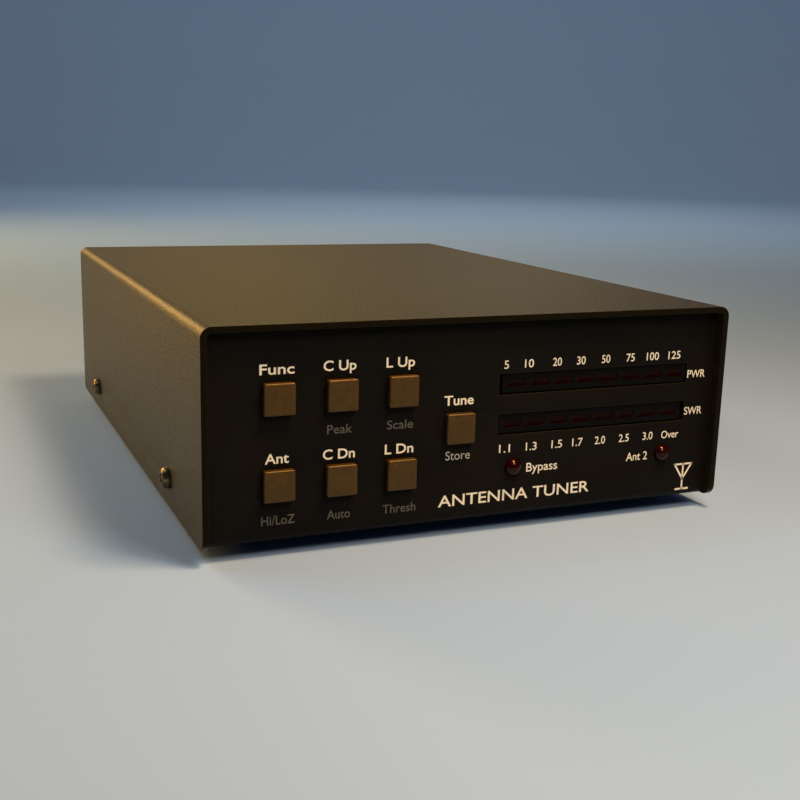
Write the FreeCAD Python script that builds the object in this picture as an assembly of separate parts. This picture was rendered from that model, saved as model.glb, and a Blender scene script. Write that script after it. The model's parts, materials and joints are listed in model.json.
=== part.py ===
import FreeCAD, Part
import math
import os

Vector = FreeCAD.Vector

# Desktop automatic antenna tuner: a two-piece sheet-metal case with a keyed and lit front panel, radio
# sockets on the rear panel, and a relay-switched network of coils and capacitors on a board inside.
# Millimetres. +X is the right-hand side seen from the front, +Y points to the rear, +Z is up.
# The origin is on the table, under the middle of the whole tuner.

# Case
CASE_WIDTH = 150.0
CASE_DEPTH = 199.0
WALL_HEIGHT = 55.2
SHEET = 1.6
COVER_BEND = 2.8
COVER_CORNER = 3.3
OVERHANG = 2.8
PAN_GAP = 0.35
PAN_BEND = 2.4
FLANGE_HEIGHT = 15.0
FLANGE_SETBACK = 6.7
SCREW_INSET = 38.7
SCREW_RISE = 8.3

# Feet
FOOT_HEIGHT = 4.0
FOOT_RADIUS = 6.35
FOOT_INSET_X = 14.0
FOOT_INSET_Y = 23.0

# How far the sockets stand out of the rear panel
SOCKET_REACH = 18.8

# Front panel
KEY_SIZE = 8.1
KEY_HOLE = 8.7
KEY_CORNER = 0.6
KEY_EDGE = 0.45
KEY_PROUD = 1.8
KEY_DEPTH = 6.3
KEY_TRAVEL = 0.3
KEY_FIRST_X = -55.4
KEY_PITCH = 16.3
KEY_ROW_PITCH = 21.8
KEY_MIDDLE_RISE = 25.65
WINDOW_LENGTH = 59.4
WINDOW_HEIGHT = 5.7
WINDOW_X = 34.5
POWER_RISE = 36.4
SWR_RISE = 25.5
BAR_LENGTH = 58.2
BAR_HEIGHT = 5.2
BAR_RECESS = 0.3
BAR_SHIFT = 0.45
BAR_LIFT = 0.15
SEGMENTS = 8
SEGMENT_PITCH = 7.15
SEGMENT_LENGTH = 5.6
SEGMENT_HEIGHT = 2.2
LED_RADIUS = 2.5
LED_PROUD = 2.0
LED_RISE = 13.6
BYPASS_LED_X = 10.0
ANTENNA_LED_X = 57.7
PANEL_TO_BOARD = 7.3

# Boards
BOARD = 1.6
BOARD_RISE = 6.0
MAIN_BOARD_HALF = 69.0
DISPLAY_BOARD_HALF = 69.5
DISPLAY_BOARD_BOTTOM = 8.5
DISPLAY_BOARD_TOP = 54.5

# Fasteners: M3 screws and nuts throughout, with an M4 ground stud
M3_SHANK = 1.45
M3_TAPPED = 1.5
M3_FREE = 1.7
M3_HEAD_RADIUS = 3.0
M3_HEAD_HEIGHT = 2.2
M3_ACROSS_FLATS = 5.5
M3_NUT_HEIGHT = 2.4
M4_RADIUS = 2.0
M4_ACROSS_FLATS = 7.0
M4_NUT_HEIGHT = 3.2

# Rear panel, from the left-hand side seen from the front
TRANSCEIVER_X = -54.0
ANTENNA_1_X = -24.0
ANTENNA_2_X = 6.0
GROUND_X = 31.0
RADIO_JACK_X = 46.0
DC_JACK_X = 61.0
SOCKET_RISE = 30.0
RADIO_AXIS_OVER_BOARD = 5.0
DC_AXIS_OVER_BOARD = 6.5

# Places worked out from the sizes above
OVERALL = CASE_DEPTH - OVERHANG + SOCKET_REACH
FRONT = -OVERALL / 2
REAR = FRONT + CASE_DEPTH
PANEL_FACE = FRONT + OVERHANG
PANEL_BACK = PANEL_FACE + SHEET
REAR_FACE = REAR - OVERHANG
REAR_INSIDE = REAR_FACE - SHEET
BASE = FOOT_HEIGHT
FLOOR = BASE + SHEET
TOP = BASE + WALL_HEIGHT
HALF_WIDTH = CASE_WIDTH / 2
PAN_HALF = HALF_WIDTH - SHEET - PAN_GAP
PAN_TOP = TOP - SHEET - PAN_GAP
COVER_SCREW_Y = (FRONT + SCREW_INSET, REAR - SCREW_INSET)
COVER_SCREW_Z = BASE + SCREW_RISE
DISPLAY_FRONT = PANEL_BACK + PANEL_TO_BOARD
DISPLAY_BACK = DISPLAY_FRONT + BOARD
BOARD_BOTTOM = FLOOR + BOARD_RISE
BOARD_TOP = BOARD_BOTTOM + BOARD
BOARD_FRONT_Y = -90.0
BOARD_REAR_Y = 84.0
STANDOFF_X = 62.0
STANDOFF_Y = (-68.0, -8.0, 52.0)
DISPLAY_STANDOFF_X = 65.5
DISPLAY_STANDOFF_Z = (13.0, 50.0)
KEYS = {
    "func": (0, 1),
    "c_up": (1, 1),
    "l_up": (2, 1),
    "tune": (3, 0),
    "ant": (0, -1),
    "c_down": (1, -1),
    "l_down": (2, -1),
}
SOCKETS = {
    "transceiver": TRANSCEIVER_X,
    "antenna_1": ANTENNA_1_X,
    "antenna_2": ANTENNA_2_X,
}


def save(node, *solids):
    """Write one node as a STEP file."""
    shape = solids[0] if len(solids) == 1 else Part.makeCompound(list(solids))
    shape.exportStep("parts/" + node + ".step")


def block(x, y, z):
    """A box between pairs of limits."""
    corner = Vector(min(x), min(y), min(z))
    return Part.makeBox(abs(x[1] - x[0]), abs(y[1] - y[0]), abs(z[1] - z[0]), corner)


def around(middle, size):
    """The pair of limits of a length centred on a place."""
    return (middle - size / 2, middle + size / 2)


def rod(radius, start, along, length):
    """A cylinder from a start point along a direction."""
    return Part.makeCylinder(radius, length, start, along)


def placed(shape, at, along):
    """Move a shape made along +Z at the origin to a place and direction."""
    shape.Placement = FreeCAD.Placement(at, FreeCAD.Rotation(Vector(0, 0, 1), along))
    return shape


def turned(outline, at, along):
    """A solid of revolution from (radius, distance) points, placed along a direction."""
    points = [Vector(radius, 0, distance) for radius, distance in outline]
    face = Part.Face(Part.makePolygon(points + points[:1]))
    solid = face.revolve(Vector(0, 0, 0), Vector(0, 0, 1), 360)
    return placed(solid, at, along)


def edges_along(shape, direction, wanted):
    """The straight edges parallel to a direction whose middle passes a test."""
    picked = []
    for edge in shape.Edges:
        if len(edge.Vertexes) != 2:
            continue
        run = edge.Vertexes[1].Point - edge.Vertexes[0].Point
        if run.cross(direction).Length < 1e-6 and wanted(edge.CenterOfMass):
            picked.append(edge)
    return picked


def every(point):
    """A test that every edge passes."""
    return True


def rounded(shape, direction, radius, wanted=every):
    """Round the edges parallel to a direction."""
    return shape.makeFillet(radius, edges_along(shape, direction, wanted))


def hexagon(across_flats, height, hole_radius, at, along):
    """A six-sided nut or standoff from a point along a direction."""
    corner_radius = across_flats / math.sqrt(3)
    corners = []
    for index in range(7):
        angle = math.radians(60 * index)
        corners.append(Vector(corner_radius * math.cos(angle), corner_radius * math.sin(angle), 0))
    body = Part.Face(Part.makePolygon(corners)).extrude(Vector(0, 0, height))
    chamfer = corner_radius - across_flats / 2
    trim = turned(
        [
            (0, 0),
            (across_flats / 2, 0),
            (corner_radius, chamfer * 0.6),
            (corner_radius, height - chamfer * 0.6),
            (across_flats / 2, height),
            (0, height),
        ],
        Vector(0, 0, 0),
        Vector(0, 0, 1),
    )
    body = body.common(trim)
    hole = rod(hole_radius, Vector(0, 0, -1), Vector(0, 0, 1), height + 2)
    return placed(body.cut(hole), at, along)


def pan_screw(shank_length, at, along):
    """A cross-recessed M3 pan-head screw; the point is under its head, the direction towards its tip."""
    dome = 0.9
    head = rod(M3_HEAD_RADIUS, Vector(0, 0, -M3_HEAD_HEIGHT), Vector(0, 0, 1), M3_HEAD_HEIGHT)
    rim = [edge for edge in head.Edges if abs(edge.CenterOfMass.z + M3_HEAD_HEIGHT) < 1e-6]
    head = head.makeFillet(dome, [edge for edge in rim if len(edge.Vertexes) == 1])
    recess_half = 0.45
    recess_reach = 1.8
    recess_depth = 1.3
    long_side = (-recess_reach, recess_reach)
    short_side = (-recess_half, recess_half)
    depth = (-M3_HEAD_HEIGHT - 1, recess_depth - M3_HEAD_HEIGHT)
    head = head.cut([block(long_side, short_side, depth), block(short_side, long_side, depth)])
    point = 0.5
    shank = turned(
        [(0, -0.2), (M3_SHANK, -0.2), (M3_SHANK, shank_length - point),
         (M3_SHANK - point, shank_length), (0, shank_length)],
        Vector(0, 0, 0),
        Vector(0, 0, 1),
    )
    return placed(head.fuse(shank).removeSplitter(), at, along)


def key_place(key):
    """The middle of a key on the front panel."""
    column, row = KEYS[key]
    x = KEY_FIRST_X + column * KEY_PITCH
    z = BASE + KEY_MIDDLE_RISE + row * KEY_ROW_PITCH / 2
    return x, z


def square_prism(size, corner, x, z, y):
    """A square bar along Y with rounded corners."""
    bar = block(around(x, size), y, around(z, size))
    return rounded(bar, Vector(0, 1, 0), corner)


# The case: an inverted U of sheet metal over a U-shaped pan that holds both panels.

def cover_shell():
    """Top and both side walls, bent from one sheet, with its screw holes."""
    outer = block((-HALF_WIDTH, HALF_WIDTH), (FRONT, REAR), (BASE, TOP))
    outer = rounded(outer, Vector(0, 1, 0), COVER_BEND, lambda point: point.z > TOP - 1)
    inside = HALF_WIDTH - SHEET
    inner = block((-inside, inside), (FRONT - 1, REAR + 1), (BASE - 1, TOP - SHEET))
    inner = rounded(inner, Vector(0, 1, 0), COVER_BEND - SHEET, lambda point: point.z > TOP - SHEET - 1)
    shell = outer.cut(inner)
    shell = rounded(shell, Vector(1, 0, 0), COVER_CORNER, lambda point: point.z < BASE + 0.01)
    holes = []
    for y in COVER_SCREW_Y:
        start = Vector(-HALF_WIDTH - 1, y, COVER_SCREW_Z)
        holes.append(rod(M3_FREE, start, Vector(1, 0, 0), CASE_WIDTH + 2))
    return shell.cut(holes)


def side_flange(side):
    """The upturned flange that a side wall of the cover is screwed to."""
    y = (PANEL_BACK + FLANGE_SETBACK, REAR_INSIDE - FLANGE_SETBACK)
    root_x = side * (PAN_HALF - 2 * PAN_BEND)
    top = BASE + FLANGE_HEIGHT
    outer = block((root_x, side * PAN_HALF), y, (BASE, top))
    outer = rounded(outer, Vector(0, 1, 0), PAN_BEND,
                    lambda point: point.z < BASE + 1 and abs(point.x) > PAN_HALF - 1)
    inner = block((root_x, side * (PAN_HALF - SHEET)), (y[0] - 1, y[1] + 1), (FLOOR, top + 1))
    inner = rounded(inner, Vector(0, 1, 0), PAN_BEND - SHEET,
                    lambda point: point.z < FLOOR + 1 and abs(point.x) > PAN_HALF - SHEET - 1)
    return outer.cut(inner)


def folded_pan():
    """Floor, front panel and rear panel, bent from one sheet, before any hole is cut."""
    outer = block((-PAN_HALF, PAN_HALF), (PANEL_FACE, REAR_FACE), (BASE, PAN_TOP))
    outer = rounded(outer, Vector(1, 0, 0), PAN_BEND, lambda point: point.z < BASE + 1)
    inner = block((-PAN_HALF - 1, PAN_HALF + 1), (PANEL_BACK, REAR_INSIDE), (FLOOR, PAN_TOP + 1))
    inner = rounded(inner, Vector(1, 0, 0), PAN_BEND - SHEET, lambda point: point.z < FLOOR + 1)
    pan = outer.cut(inner)
    flanges = []
    for side in (-1, 1):
        relief = block((side * (PAN_HALF - 1.5 * PAN_BEND), side * (PAN_HALF + 1)),
                       (PANEL_BACK + FLANGE_SETBACK - 1.2, REAR_INSIDE - FLANGE_SETBACK + 1.2),
                       (BASE - 1, FLOOR + 1))
        pan = pan.cut(relief)
        flanges.append(side_flange(side))
    return pan.fuse(flanges).removeSplitter()


def front_cuts():
    """The openings in the front panel: seven keys, two bar windows and two lamps."""
    through = (PANEL_FACE - 1, PANEL_BACK + 1)
    cuts = []
    for key in KEYS:
        x, z = key_place(key)
        cuts.append(square_prism(KEY_HOLE, KEY_CORNER, x, z, through))
    for rise in (POWER_RISE, SWR_RISE):
        window = block(around(WINDOW_X, WINDOW_LENGTH), through, around(BASE + rise, WINDOW_HEIGHT))
        cuts.append(rounded(window, Vector(0, 1, 0), 0.3))
    for x in (BYPASS_LED_X, ANTENNA_LED_X):
        start = Vector(x, through[0], BASE + LED_RISE)
        cuts.append(rod(LED_RADIUS + 0.12, start, Vector(0, 1, 0), through[1] - through[0]))
    return cuts


def rear_cuts():
    """The holes in the rear panel: three sockets with their screws, the ground stud and two jacks."""
    length = SHEET + 2
    cuts = []
    for x in SOCKETS.values():
        start = Vector(x, REAR_INSIDE - 1, SOCKET_RISE)
        cuts.append(rod(SOCKET_BOSS_RADIUS + 0.4, start, Vector(0, 1, 0), length))
        for screw_x, screw_z in socket_screw_places(x):
            cuts.append(rod(M3_FREE, Vector(screw_x, start.y, screw_z), Vector(0, 1, 0), length))
    others = (
        (GROUND_X, SOCKET_RISE, M4_RADIUS + 0.15),
        (RADIO_JACK_X, BOARD_TOP + RADIO_AXIS_OVER_BOARD, RADIO_NOSE_RADIUS + 0.1),
        (DC_JACK_X, BOARD_TOP + DC_AXIS_OVER_BOARD, 4.0),
    )
    for x, z, radius in others:
        cuts.append(rod(radius, Vector(x, REAR_INSIDE - 1, z), Vector(0, 1, 0), length))
    return cuts


def base_pan():
    """The pan with all its holes."""
    cuts = front_cuts() + rear_cuts()
    for y in COVER_SCREW_Y:
        start = Vector(-PAN_HALF - 1, y, COVER_SCREW_Z)
        cuts.append(rod(M3_TAPPED, start, Vector(1, 0, 0), 2 * PAN_HALF + 2))
    for x in (-STANDOFF_X, STANDOFF_X):
        for y in STANDOFF_Y:
            cuts.append(rod(M3_FREE, Vector(x, y, BASE - 1), Vector(0, 0, 1), SHEET + 2))
    return folded_pan().cut(cuts)


def cover_screws():
    """Four screws through the side walls into the pan's flanges."""
    screws = []
    for side in (-1, 1):
        for y in COVER_SCREW_Y:
            at = Vector(side * HALF_WIDTH, y, COVER_SCREW_Z)
            screws.append(pan_screw(6.0, at, Vector(-side, 0, 0)))
    return screws


def rubber_feet():
    """Four stuck-on bumpers."""
    feet = []
    outline = [
        (0, 0),
        (0.77 * FOOT_RADIUS, 0),
        (0.87 * FOOT_RADIUS, 0.12 * FOOT_HEIGHT),
        (FOOT_RADIUS, 0.8 * FOOT_HEIGHT),
        (FOOT_RADIUS, FOOT_HEIGHT),
        (0, FOOT_HEIGHT),
    ]
    for x in (-HALF_WIDTH + FOOT_INSET_X, HALF_WIDTH - FOOT_INSET_X):
        for y in (FRONT + FOOT_INSET_Y, REAR - FOOT_INSET_Y):
            feet.append(turned(outline, Vector(x, y, 0), Vector(0, 0, 1)))
    return feet


# Front panel: key caps on switch plungers, switches, bar displays and lamps.

CAP_FRONT = PANEL_FACE - KEY_PROUD
CAP_REAR = CAP_FRONT + KEY_DEPTH
SWITCH_SIZE = 12.0
SWITCH_FRONT = CAP_REAR + 0.9
SWITCH_LID = 0.5
PLUNGER_SIZE = 3.8
PLUNGER_TIP = CAP_REAR - 3.1
OPENING_RADIUS = 2.95
COLLAR_RADIUS = 3.3
COLLAR_THICKNESS = 1.0
COLLAR_FRONT = SWITCH_FRONT + SWITCH_LID + 0.05
NUB_LENGTH = 0.4
CAVITY_REAR = COLLAR_FRONT + COLLAR_THICKNESS + NUB_LENGTH + KEY_TRAVEL + 0.05


def key_cap(key):
    """A square key cap, hollow behind, with a central socket for the plunger."""
    x, z = key_place(key)
    cap = square_prism(KEY_SIZE, KEY_CORNER, x, z, (CAP_FRONT, CAP_REAR))
    front_edges = [edge for edge in cap.Edges if abs(edge.CenterOfMass.y - CAP_FRONT) < 1e-6]
    cap = cap.makeFillet(KEY_EDGE, front_edges)
    wall = 1.1
    face = 1.6
    cavity = square_prism(KEY_SIZE - 2 * wall, 0.4, x, z, (CAP_FRONT + face, CAP_REAR + 1))
    boss_size = PLUNGER_SIZE + 1.6
    boss = block(around(x, boss_size), (CAP_FRONT + face - 0.1, CAP_REAR), around(z, boss_size))
    cap = cap.cut(cavity).fuse(boss).removeSplitter()
    socket = block(around(x, PLUNGER_SIZE), (PLUNGER_TIP - 0.2, CAP_REAR + 1), around(z, PLUNGER_SIZE))
    return cap.cut(socket)


def key_plunger(key):
    """The switch plunger: square tip, round collar under the switch lid, and a nub over the dome."""
    x, z = key_place(key)
    tip = block(around(x, PLUNGER_SIZE), (PLUNGER_TIP, COLLAR_FRONT), around(z, PLUNGER_SIZE))
    collar = rod(COLLAR_RADIUS, Vector(x, COLLAR_FRONT, z), Vector(0, 1, 0), COLLAR_THICKNESS)
    nub = rod(1.2, Vector(x, COLLAR_FRONT + COLLAR_THICKNESS, z), Vector(0, 1, 0), NUB_LENGTH)
    return tip.fuse([collar, nub]).removeSplitter()


def switch_body(key):
    """A square push switch with a round opening in its lid and a cavity for the plunger's collar."""
    x, z = key_place(key)
    body = square_prism(SWITCH_SIZE, 0.6, x, z, (SWITCH_FRONT, DISPLAY_FRONT))
    opening = rod(OPENING_RADIUS, Vector(x, SWITCH_FRONT - 1, z), Vector(0, 1, 0), 2)
    front = SWITCH_FRONT + SWITCH_LID
    cavity = rod(COLLAR_RADIUS + 0.1, Vector(x, front, z), Vector(0, 1, 0), CAVITY_REAR - front)
    return body.cut([opening, cavity])


def bar_segment_places(shift):
    """The middles of the lit segments of a bar along X."""
    first = WINDOW_X + shift - (SEGMENTS - 1) * SEGMENT_PITCH / 2
    return [first + index * SEGMENT_PITCH for index in range(SEGMENTS)]


def bar_housing(rise, shift):
    """The black block of a bar display, with a pocket for each segment."""
    front = PANEL_FACE + BAR_RECESS
    z = BASE + rise + BAR_LIFT
    body = block(around(WINDOW_X + shift, BAR_LENGTH), (front, DISPLAY_FRONT), around(z, BAR_HEIGHT))
    pockets = []
    for x in bar_segment_places(shift):
        pockets.append(block(around(x, SEGMENT_LENGTH), (front - 1, front + 5), around(z, SEGMENT_HEIGHT)))
    return body.cut(pockets)


def bar_segments(rise, shift):
    """The red segments of a bar display, each in its pocket."""
    front = PANEL_FACE + BAR_RECESS + 0.1
    z = BASE + rise + BAR_LIFT
    slack = 0.04
    segments = []
    for x in bar_segment_places(shift):
        segments.append(block(around(x, SEGMENT_LENGTH - slack), (front, front + 4.8),
                              around(z, SEGMENT_HEIGHT - slack)))
    return segments


def round_led(x):
    """A 5 mm round LED with its rim and two legs, standing on the display board."""
    z = BASE + LED_RISE
    dome_middle = PANEL_FACE - LED_PROUD + LED_RADIUS
    rim_front = PANEL_BACK + 3.2
    rim = 1.0
    barrel = rod(LED_RADIUS, Vector(x, dome_middle, z), Vector(0, 1, 0), rim_front + rim - dome_middle)
    dome = Part.makeSphere(LED_RADIUS, Vector(x, dome_middle, z))
    flange = rod(LED_RADIUS + 0.4, Vector(x, rim_front, z), Vector(0, 1, 0), rim)
    legs = []
    for offset in (-1.27, 1.27):
        legs.append(block(around(x + offset, 0.5), (rim_front + rim - 0.2, DISPLAY_FRONT), around(z, 0.5)))
    return barrel.fuse([dome, flange] + legs).removeSplitter()


def display_board():
    """The upright board that carries the switches and displays."""
    board = block((-DISPLAY_BOARD_HALF, DISPLAY_BOARD_HALF), (DISPLAY_FRONT, DISPLAY_BACK),
                  (DISPLAY_BOARD_BOTTOM, DISPLAY_BOARD_TOP))
    board = rounded(board, Vector(0, 1, 0), 1.5)
    holes = []
    for x in (-DISPLAY_STANDOFF_X, DISPLAY_STANDOFF_X):
        for z in DISPLAY_STANDOFF_Z:
            holes.append(rod(M3_FREE, Vector(x, DISPLAY_FRONT - 1, z), Vector(0, 1, 0), BOARD + 2))
    return board.cut(holes)


def display_standoffs():
    """Four threaded standoffs pressed into the back of the front panel."""
    standoffs = []
    for x in (-DISPLAY_STANDOFF_X, DISPLAY_STANDOFF_X):
        for z in DISPLAY_STANDOFF_Z:
            at = Vector(x, PANEL_BACK, z)
            standoffs.append(hexagon(M3_ACROSS_FLATS, PANEL_TO_BOARD, M3_TAPPED, at, Vector(0, 1, 0)))
    return standoffs


# Main board and its fixings.

def main_board():
    """The board that carries the tuning network."""
    board = block((-MAIN_BOARD_HALF, MAIN_BOARD_HALF), (BOARD_FRONT_Y, BOARD_REAR_Y),
                  (BOARD_BOTTOM, BOARD_TOP))
    board = rounded(board, Vector(0, 0, 1), 2.0)
    holes = []
    for x in (-STANDOFF_X, STANDOFF_X):
        for y in STANDOFF_Y:
            holes.append(rod(M3_FREE, Vector(x, y, BOARD_BOTTOM - 1), Vector(0, 0, 1), BOARD + 2))
    return board.cut(holes)


def board_standoffs():
    """Six threaded standoffs between the pan's floor and the main board."""
    standoffs = []
    for x in (-STANDOFF_X, STANDOFF_X):
        for y in STANDOFF_Y:
            at = Vector(x, y, FLOOR)
            standoffs.append(hexagon(M3_ACROSS_FLATS, BOARD_RISE, M3_TAPPED, at, Vector(0, 0, 1)))
    return standoffs


def board_screws():
    """The screws of both boards: from above and below at each standoff, and behind the display board."""
    short = 4.2
    screws = []
    for x in (-STANDOFF_X, STANDOFF_X):
        for y in STANDOFF_Y:
            screws.append(pan_screw(short, Vector(x, y, BOARD_TOP), Vector(0, 0, -1)))
            screws.append(pan_screw(short, Vector(x, y, BASE), Vector(0, 0, 1)))
    for x in (-DISPLAY_STANDOFF_X, DISPLAY_STANDOFF_X):
        for z in DISPLAY_STANDOFF_Z:
            screws.append(pan_screw(short, Vector(x, DISPLAY_BACK, z), Vector(0, -1, 0)))
    return screws


# Coaxial sockets: a flanged shell with an outside thread, an insulator and a slotted contact.

SOCKET_FLANGE = 25.4
SOCKET_FLANGE_THICKNESS = 2.0
SOCKET_SCREW_PITCH = 18.26
SOCKET_THREAD_RADIUS = 7.94
SOCKET_NECK_RADIUS = 7.2
SOCKET_NECK_LENGTH = 1.5
SOCKET_BORE = 6.2
SOCKET_BORE_DEPTH = 11.5
SOCKET_BOSS_RADIUS = 7.5
SOCKET_BOSS_LENGTH = 3.7
CONTACT_RADIUS = 2.85
CONTACT_BORE = 2.0
CONTACT_BORE_DEPTH = 12.0
CONTACT_PROUD = 8.5
CONTACT_TAIL_RADIUS = 1.6
SOCKET_TIP = REAR_FACE + SOCKET_REACH
INSULATOR_FACE = SOCKET_TIP - SOCKET_BORE_DEPTH
INSULATOR_STEP = REAR_FACE + 1.5
INSULATOR_REAR = REAR_INSIDE - 3.6
INSULATOR_TAIL_RADIUS = 5.0
CONTACT_TIP = INSULATOR_FACE + CONTACT_PROUD
CONTACT_STEP = INSULATOR_FACE - 5.0
CONTACT_REAR = 78.0
FIT_SLACK = 0.05


def socket_screw_places(x):
    """The four screws of a socket's flange, as (x, z)."""
    half = SOCKET_SCREW_PITCH / 2
    return [(x + i * half, SOCKET_RISE + k * half) for i in (-1, 1) for k in (-1, 1)]


def socket_shell(x):
    """Flange, threaded barrel with four notches in its rim, and the boss behind the flange."""
    flange = block(around(x, SOCKET_FLANGE), (REAR_FACE, REAR_FACE + SOCKET_FLANGE_THICKNESS),
                   around(SOCKET_RISE, SOCKET_FLANGE))
    flange = rounded(flange, Vector(0, 1, 0), 2.5)
    neck_end = REAR_FACE + SOCKET_FLANGE_THICKNESS + SOCKET_NECK_LENGTH
    chamfer = 0.6
    step = neck_end - REAR_FACE
    barrel = turned(
        [
            (SOCKET_BORE, -SOCKET_BOSS_LENGTH),
            (SOCKET_BOSS_RADIUS, -SOCKET_BOSS_LENGTH),
            (SOCKET_BOSS_RADIUS, 0.5),
            (SOCKET_NECK_RADIUS, 0.5),
            (SOCKET_NECK_RADIUS, step),
            (SOCKET_THREAD_RADIUS, step),
            (SOCKET_THREAD_RADIUS, SOCKET_REACH - chamfer),
            (SOCKET_THREAD_RADIUS - chamfer, SOCKET_REACH),
            (SOCKET_BORE, SOCKET_REACH),
        ],
        Vector(x, REAR_FACE, SOCKET_RISE),
        Vector(0, 1, 0),
    )
    cuts = [rod(SOCKET_BORE, Vector(x, REAR_FACE - 9, SOCKET_RISE), Vector(0, 1, 0), 40)]
    notch_width = 1.6
    notch_depth = 1.2
    reach = SOCKET_THREAD_RADIUS + 1
    cuts.append(block(around(x, notch_width), (SOCKET_TIP - notch_depth, SOCKET_TIP + 1),
                      around(SOCKET_RISE, 2 * reach)))
    cuts.append(block(around(x, 2 * reach), (SOCKET_TIP - notch_depth, SOCKET_TIP + 1),
                      around(SOCKET_RISE, notch_width)))
    for screw_x, screw_z in socket_screw_places(x):
        cuts.append(rod(M3_FREE, Vector(screw_x, REAR_FACE - 1, screw_z), Vector(0, 1, 0),
                        SOCKET_FLANGE_THICKNESS + 2))
    return flange.fuse(barrel).cut(cuts).removeSplitter()


def socket_insulator(x):
    """The stepped insulator inside a socket's shell."""
    outer = SOCKET_BORE - FIT_SLACK
    return turned(
        [
            (CONTACT_TAIL_RADIUS + FIT_SLACK, INSULATOR_REAR),
            (INSULATOR_TAIL_RADIUS, INSULATOR_REAR),
            (INSULATOR_TAIL_RADIUS, INSULATOR_STEP),
            (outer, INSULATOR_STEP),
            (outer, INSULATOR_FACE),
            (CONTACT_RADIUS + FIT_SLACK, INSULATOR_FACE),
            (CONTACT_RADIUS + FIT_SLACK, CONTACT_STEP - FIT_SLACK),
            (CONTACT_TAIL_RADIUS + FIT_SLACK, CONTACT_STEP - FIT_SLACK),
        ],
        Vector(x, 0, SOCKET_RISE),
        Vector(0, 1, 0),
    )


def socket_contact(x):
    """The centre contact: a slotted tube in front, a solid tail with a solder cup behind."""
    contact = turned(
        [
            (0, CONTACT_REAR),
            (CONTACT_TAIL_RADIUS, CONTACT_REAR),
            (CONTACT_TAIL_RADIUS, CONTACT_STEP),
            (CONTACT_RADIUS, CONTACT_STEP),
            (CONTACT_RADIUS, CONTACT_TIP - 0.3),
            (CONTACT_RADIUS - 0.3, CONTACT_TIP),
            (0, CONTACT_TIP),
        ],
        Vector(x, 0, SOCKET_RISE),
        Vector(0, 1, 0),
    )
    slot = 0.45
    slot_depth = 6.0
    slot_y = (CONTACT_TIP - slot_depth, CONTACT_TIP + 1)
    cuts = [
        rod(CONTACT_BORE, Vector(x, CONTACT_TIP - CONTACT_BORE_DEPTH, SOCKET_RISE), Vector(0, 1, 0), 20),
        rod(1.0, Vector(x, CONTACT_REAR - 1, SOCKET_RISE), Vector(0, 1, 0), 5),
        block(around(x, slot), slot_y, around(SOCKET_RISE, 8)),
        block(around(x, 8), slot_y, around(SOCKET_RISE, slot)),
    ]
    return contact.cut(cuts)


def socket_screws():
    """Four screws through each socket's flange and the rear panel."""
    screws = []
    for x in SOCKETS.values():
        for screw_x, screw_z in socket_screw_places(x):
            at = Vector(screw_x, REAR_FACE + SOCKET_FLANGE_THICKNESS, screw_z)
            screws.append(pan_screw(8.0, at, Vector(0, -1, 0)))
    return screws


def socket_nuts():
    """A nut on each socket screw, inside the rear panel."""
    nuts = []
    for x in SOCKETS.values():
        for screw_x, screw_z in socket_screw_places(x):
            at = Vector(screw_x, REAR_INSIDE, screw_z)
            nuts.append(hexagon(M3_ACROSS_FLATS, M3_NUT_HEIGHT, M3_TAPPED, at, Vector(0, -1, 0)))
    return nuts


def socket_lead(x):
    """The bent wire from a contact's solder cup down to the board."""
    radius = 0.7
    bend = 3.0
    inside_cup = CONTACT_REAR + 2.5
    end_y = CONTACT_REAR - 6.0
    start = Vector(x, inside_cup, SOCKET_RISE)
    corner = Vector(x, end_y + bend, SOCKET_RISE)
    inset = bend * (1 - math.sqrt(0.5))
    middle = Vector(x, end_y + inset, SOCKET_RISE - inset)
    turn = Vector(x, end_y, SOCKET_RISE - bend)
    foot = Vector(x, end_y, BOARD_TOP)
    edges = [
        Part.LineSegment(start, corner).toShape(),
        Part.Arc(corner, middle, turn).toShape(),
        Part.LineSegment(turn, foot).toShape(),
    ]
    section = Part.Wire(Part.makeCircle(radius, start, Vector(0, 1, 0)))
    return Part.Wire(edges).makePipeShell([section], True, False)


# Ground terminal: a stud through the rear panel, a hex nut that clamps it, and a washer and wing nut.

GROUND_NUT_FACE = REAR_FACE + M4_NUT_HEIGHT
WASHER_GAP = 0.02
WASHER_FRONT = GROUND_NUT_FACE + WASHER_GAP
WASHER_THICKNESS = 0.8
WING_BASE = WASHER_FRONT + WASHER_THICKNESS + WASHER_GAP
WING_HUB_HEIGHT = 4.6
WING_HEIGHT = 10.5
WING_SPAN = 20.0
WING_THICKNESS = 1.8
STUD_TIP = SOCKET_TIP - 0.3
STUD_FREE_LENGTH = 8.5
STUD_GROOVE = 0.6
STUD_GROOVE_RADIUS = 1.6
STUD_POINT = 0.5
RUNNING_CLEARANCE = 0.05


def ground_stud():
    """An M4 screw put through the rear panel from inside, with a relief groove beyond the wing nut."""
    head = rod(4.0, Vector(GROUND_X, REAR_INSIDE, SOCKET_RISE), Vector(0, -1, 0), 2.6)
    length = STUD_TIP - REAR_INSIDE
    free_end = length - STUD_POINT - STUD_FREE_LENGTH
    shank = turned(
        [
            (0, -0.2),
            (M4_RADIUS, -0.2),
            (M4_RADIUS, free_end - STUD_GROOVE),
            (STUD_GROOVE_RADIUS, free_end - STUD_GROOVE),
            (STUD_GROOVE_RADIUS, free_end),
            (M4_RADIUS, free_end),
            (M4_RADIUS, length - STUD_POINT),
            (M4_RADIUS - STUD_POINT, length),
            (0, length),
        ],
        Vector(GROUND_X, REAR_INSIDE, SOCKET_RISE),
        Vector(0, 1, 0),
    )
    return head.fuse(shank).removeSplitter()


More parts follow.
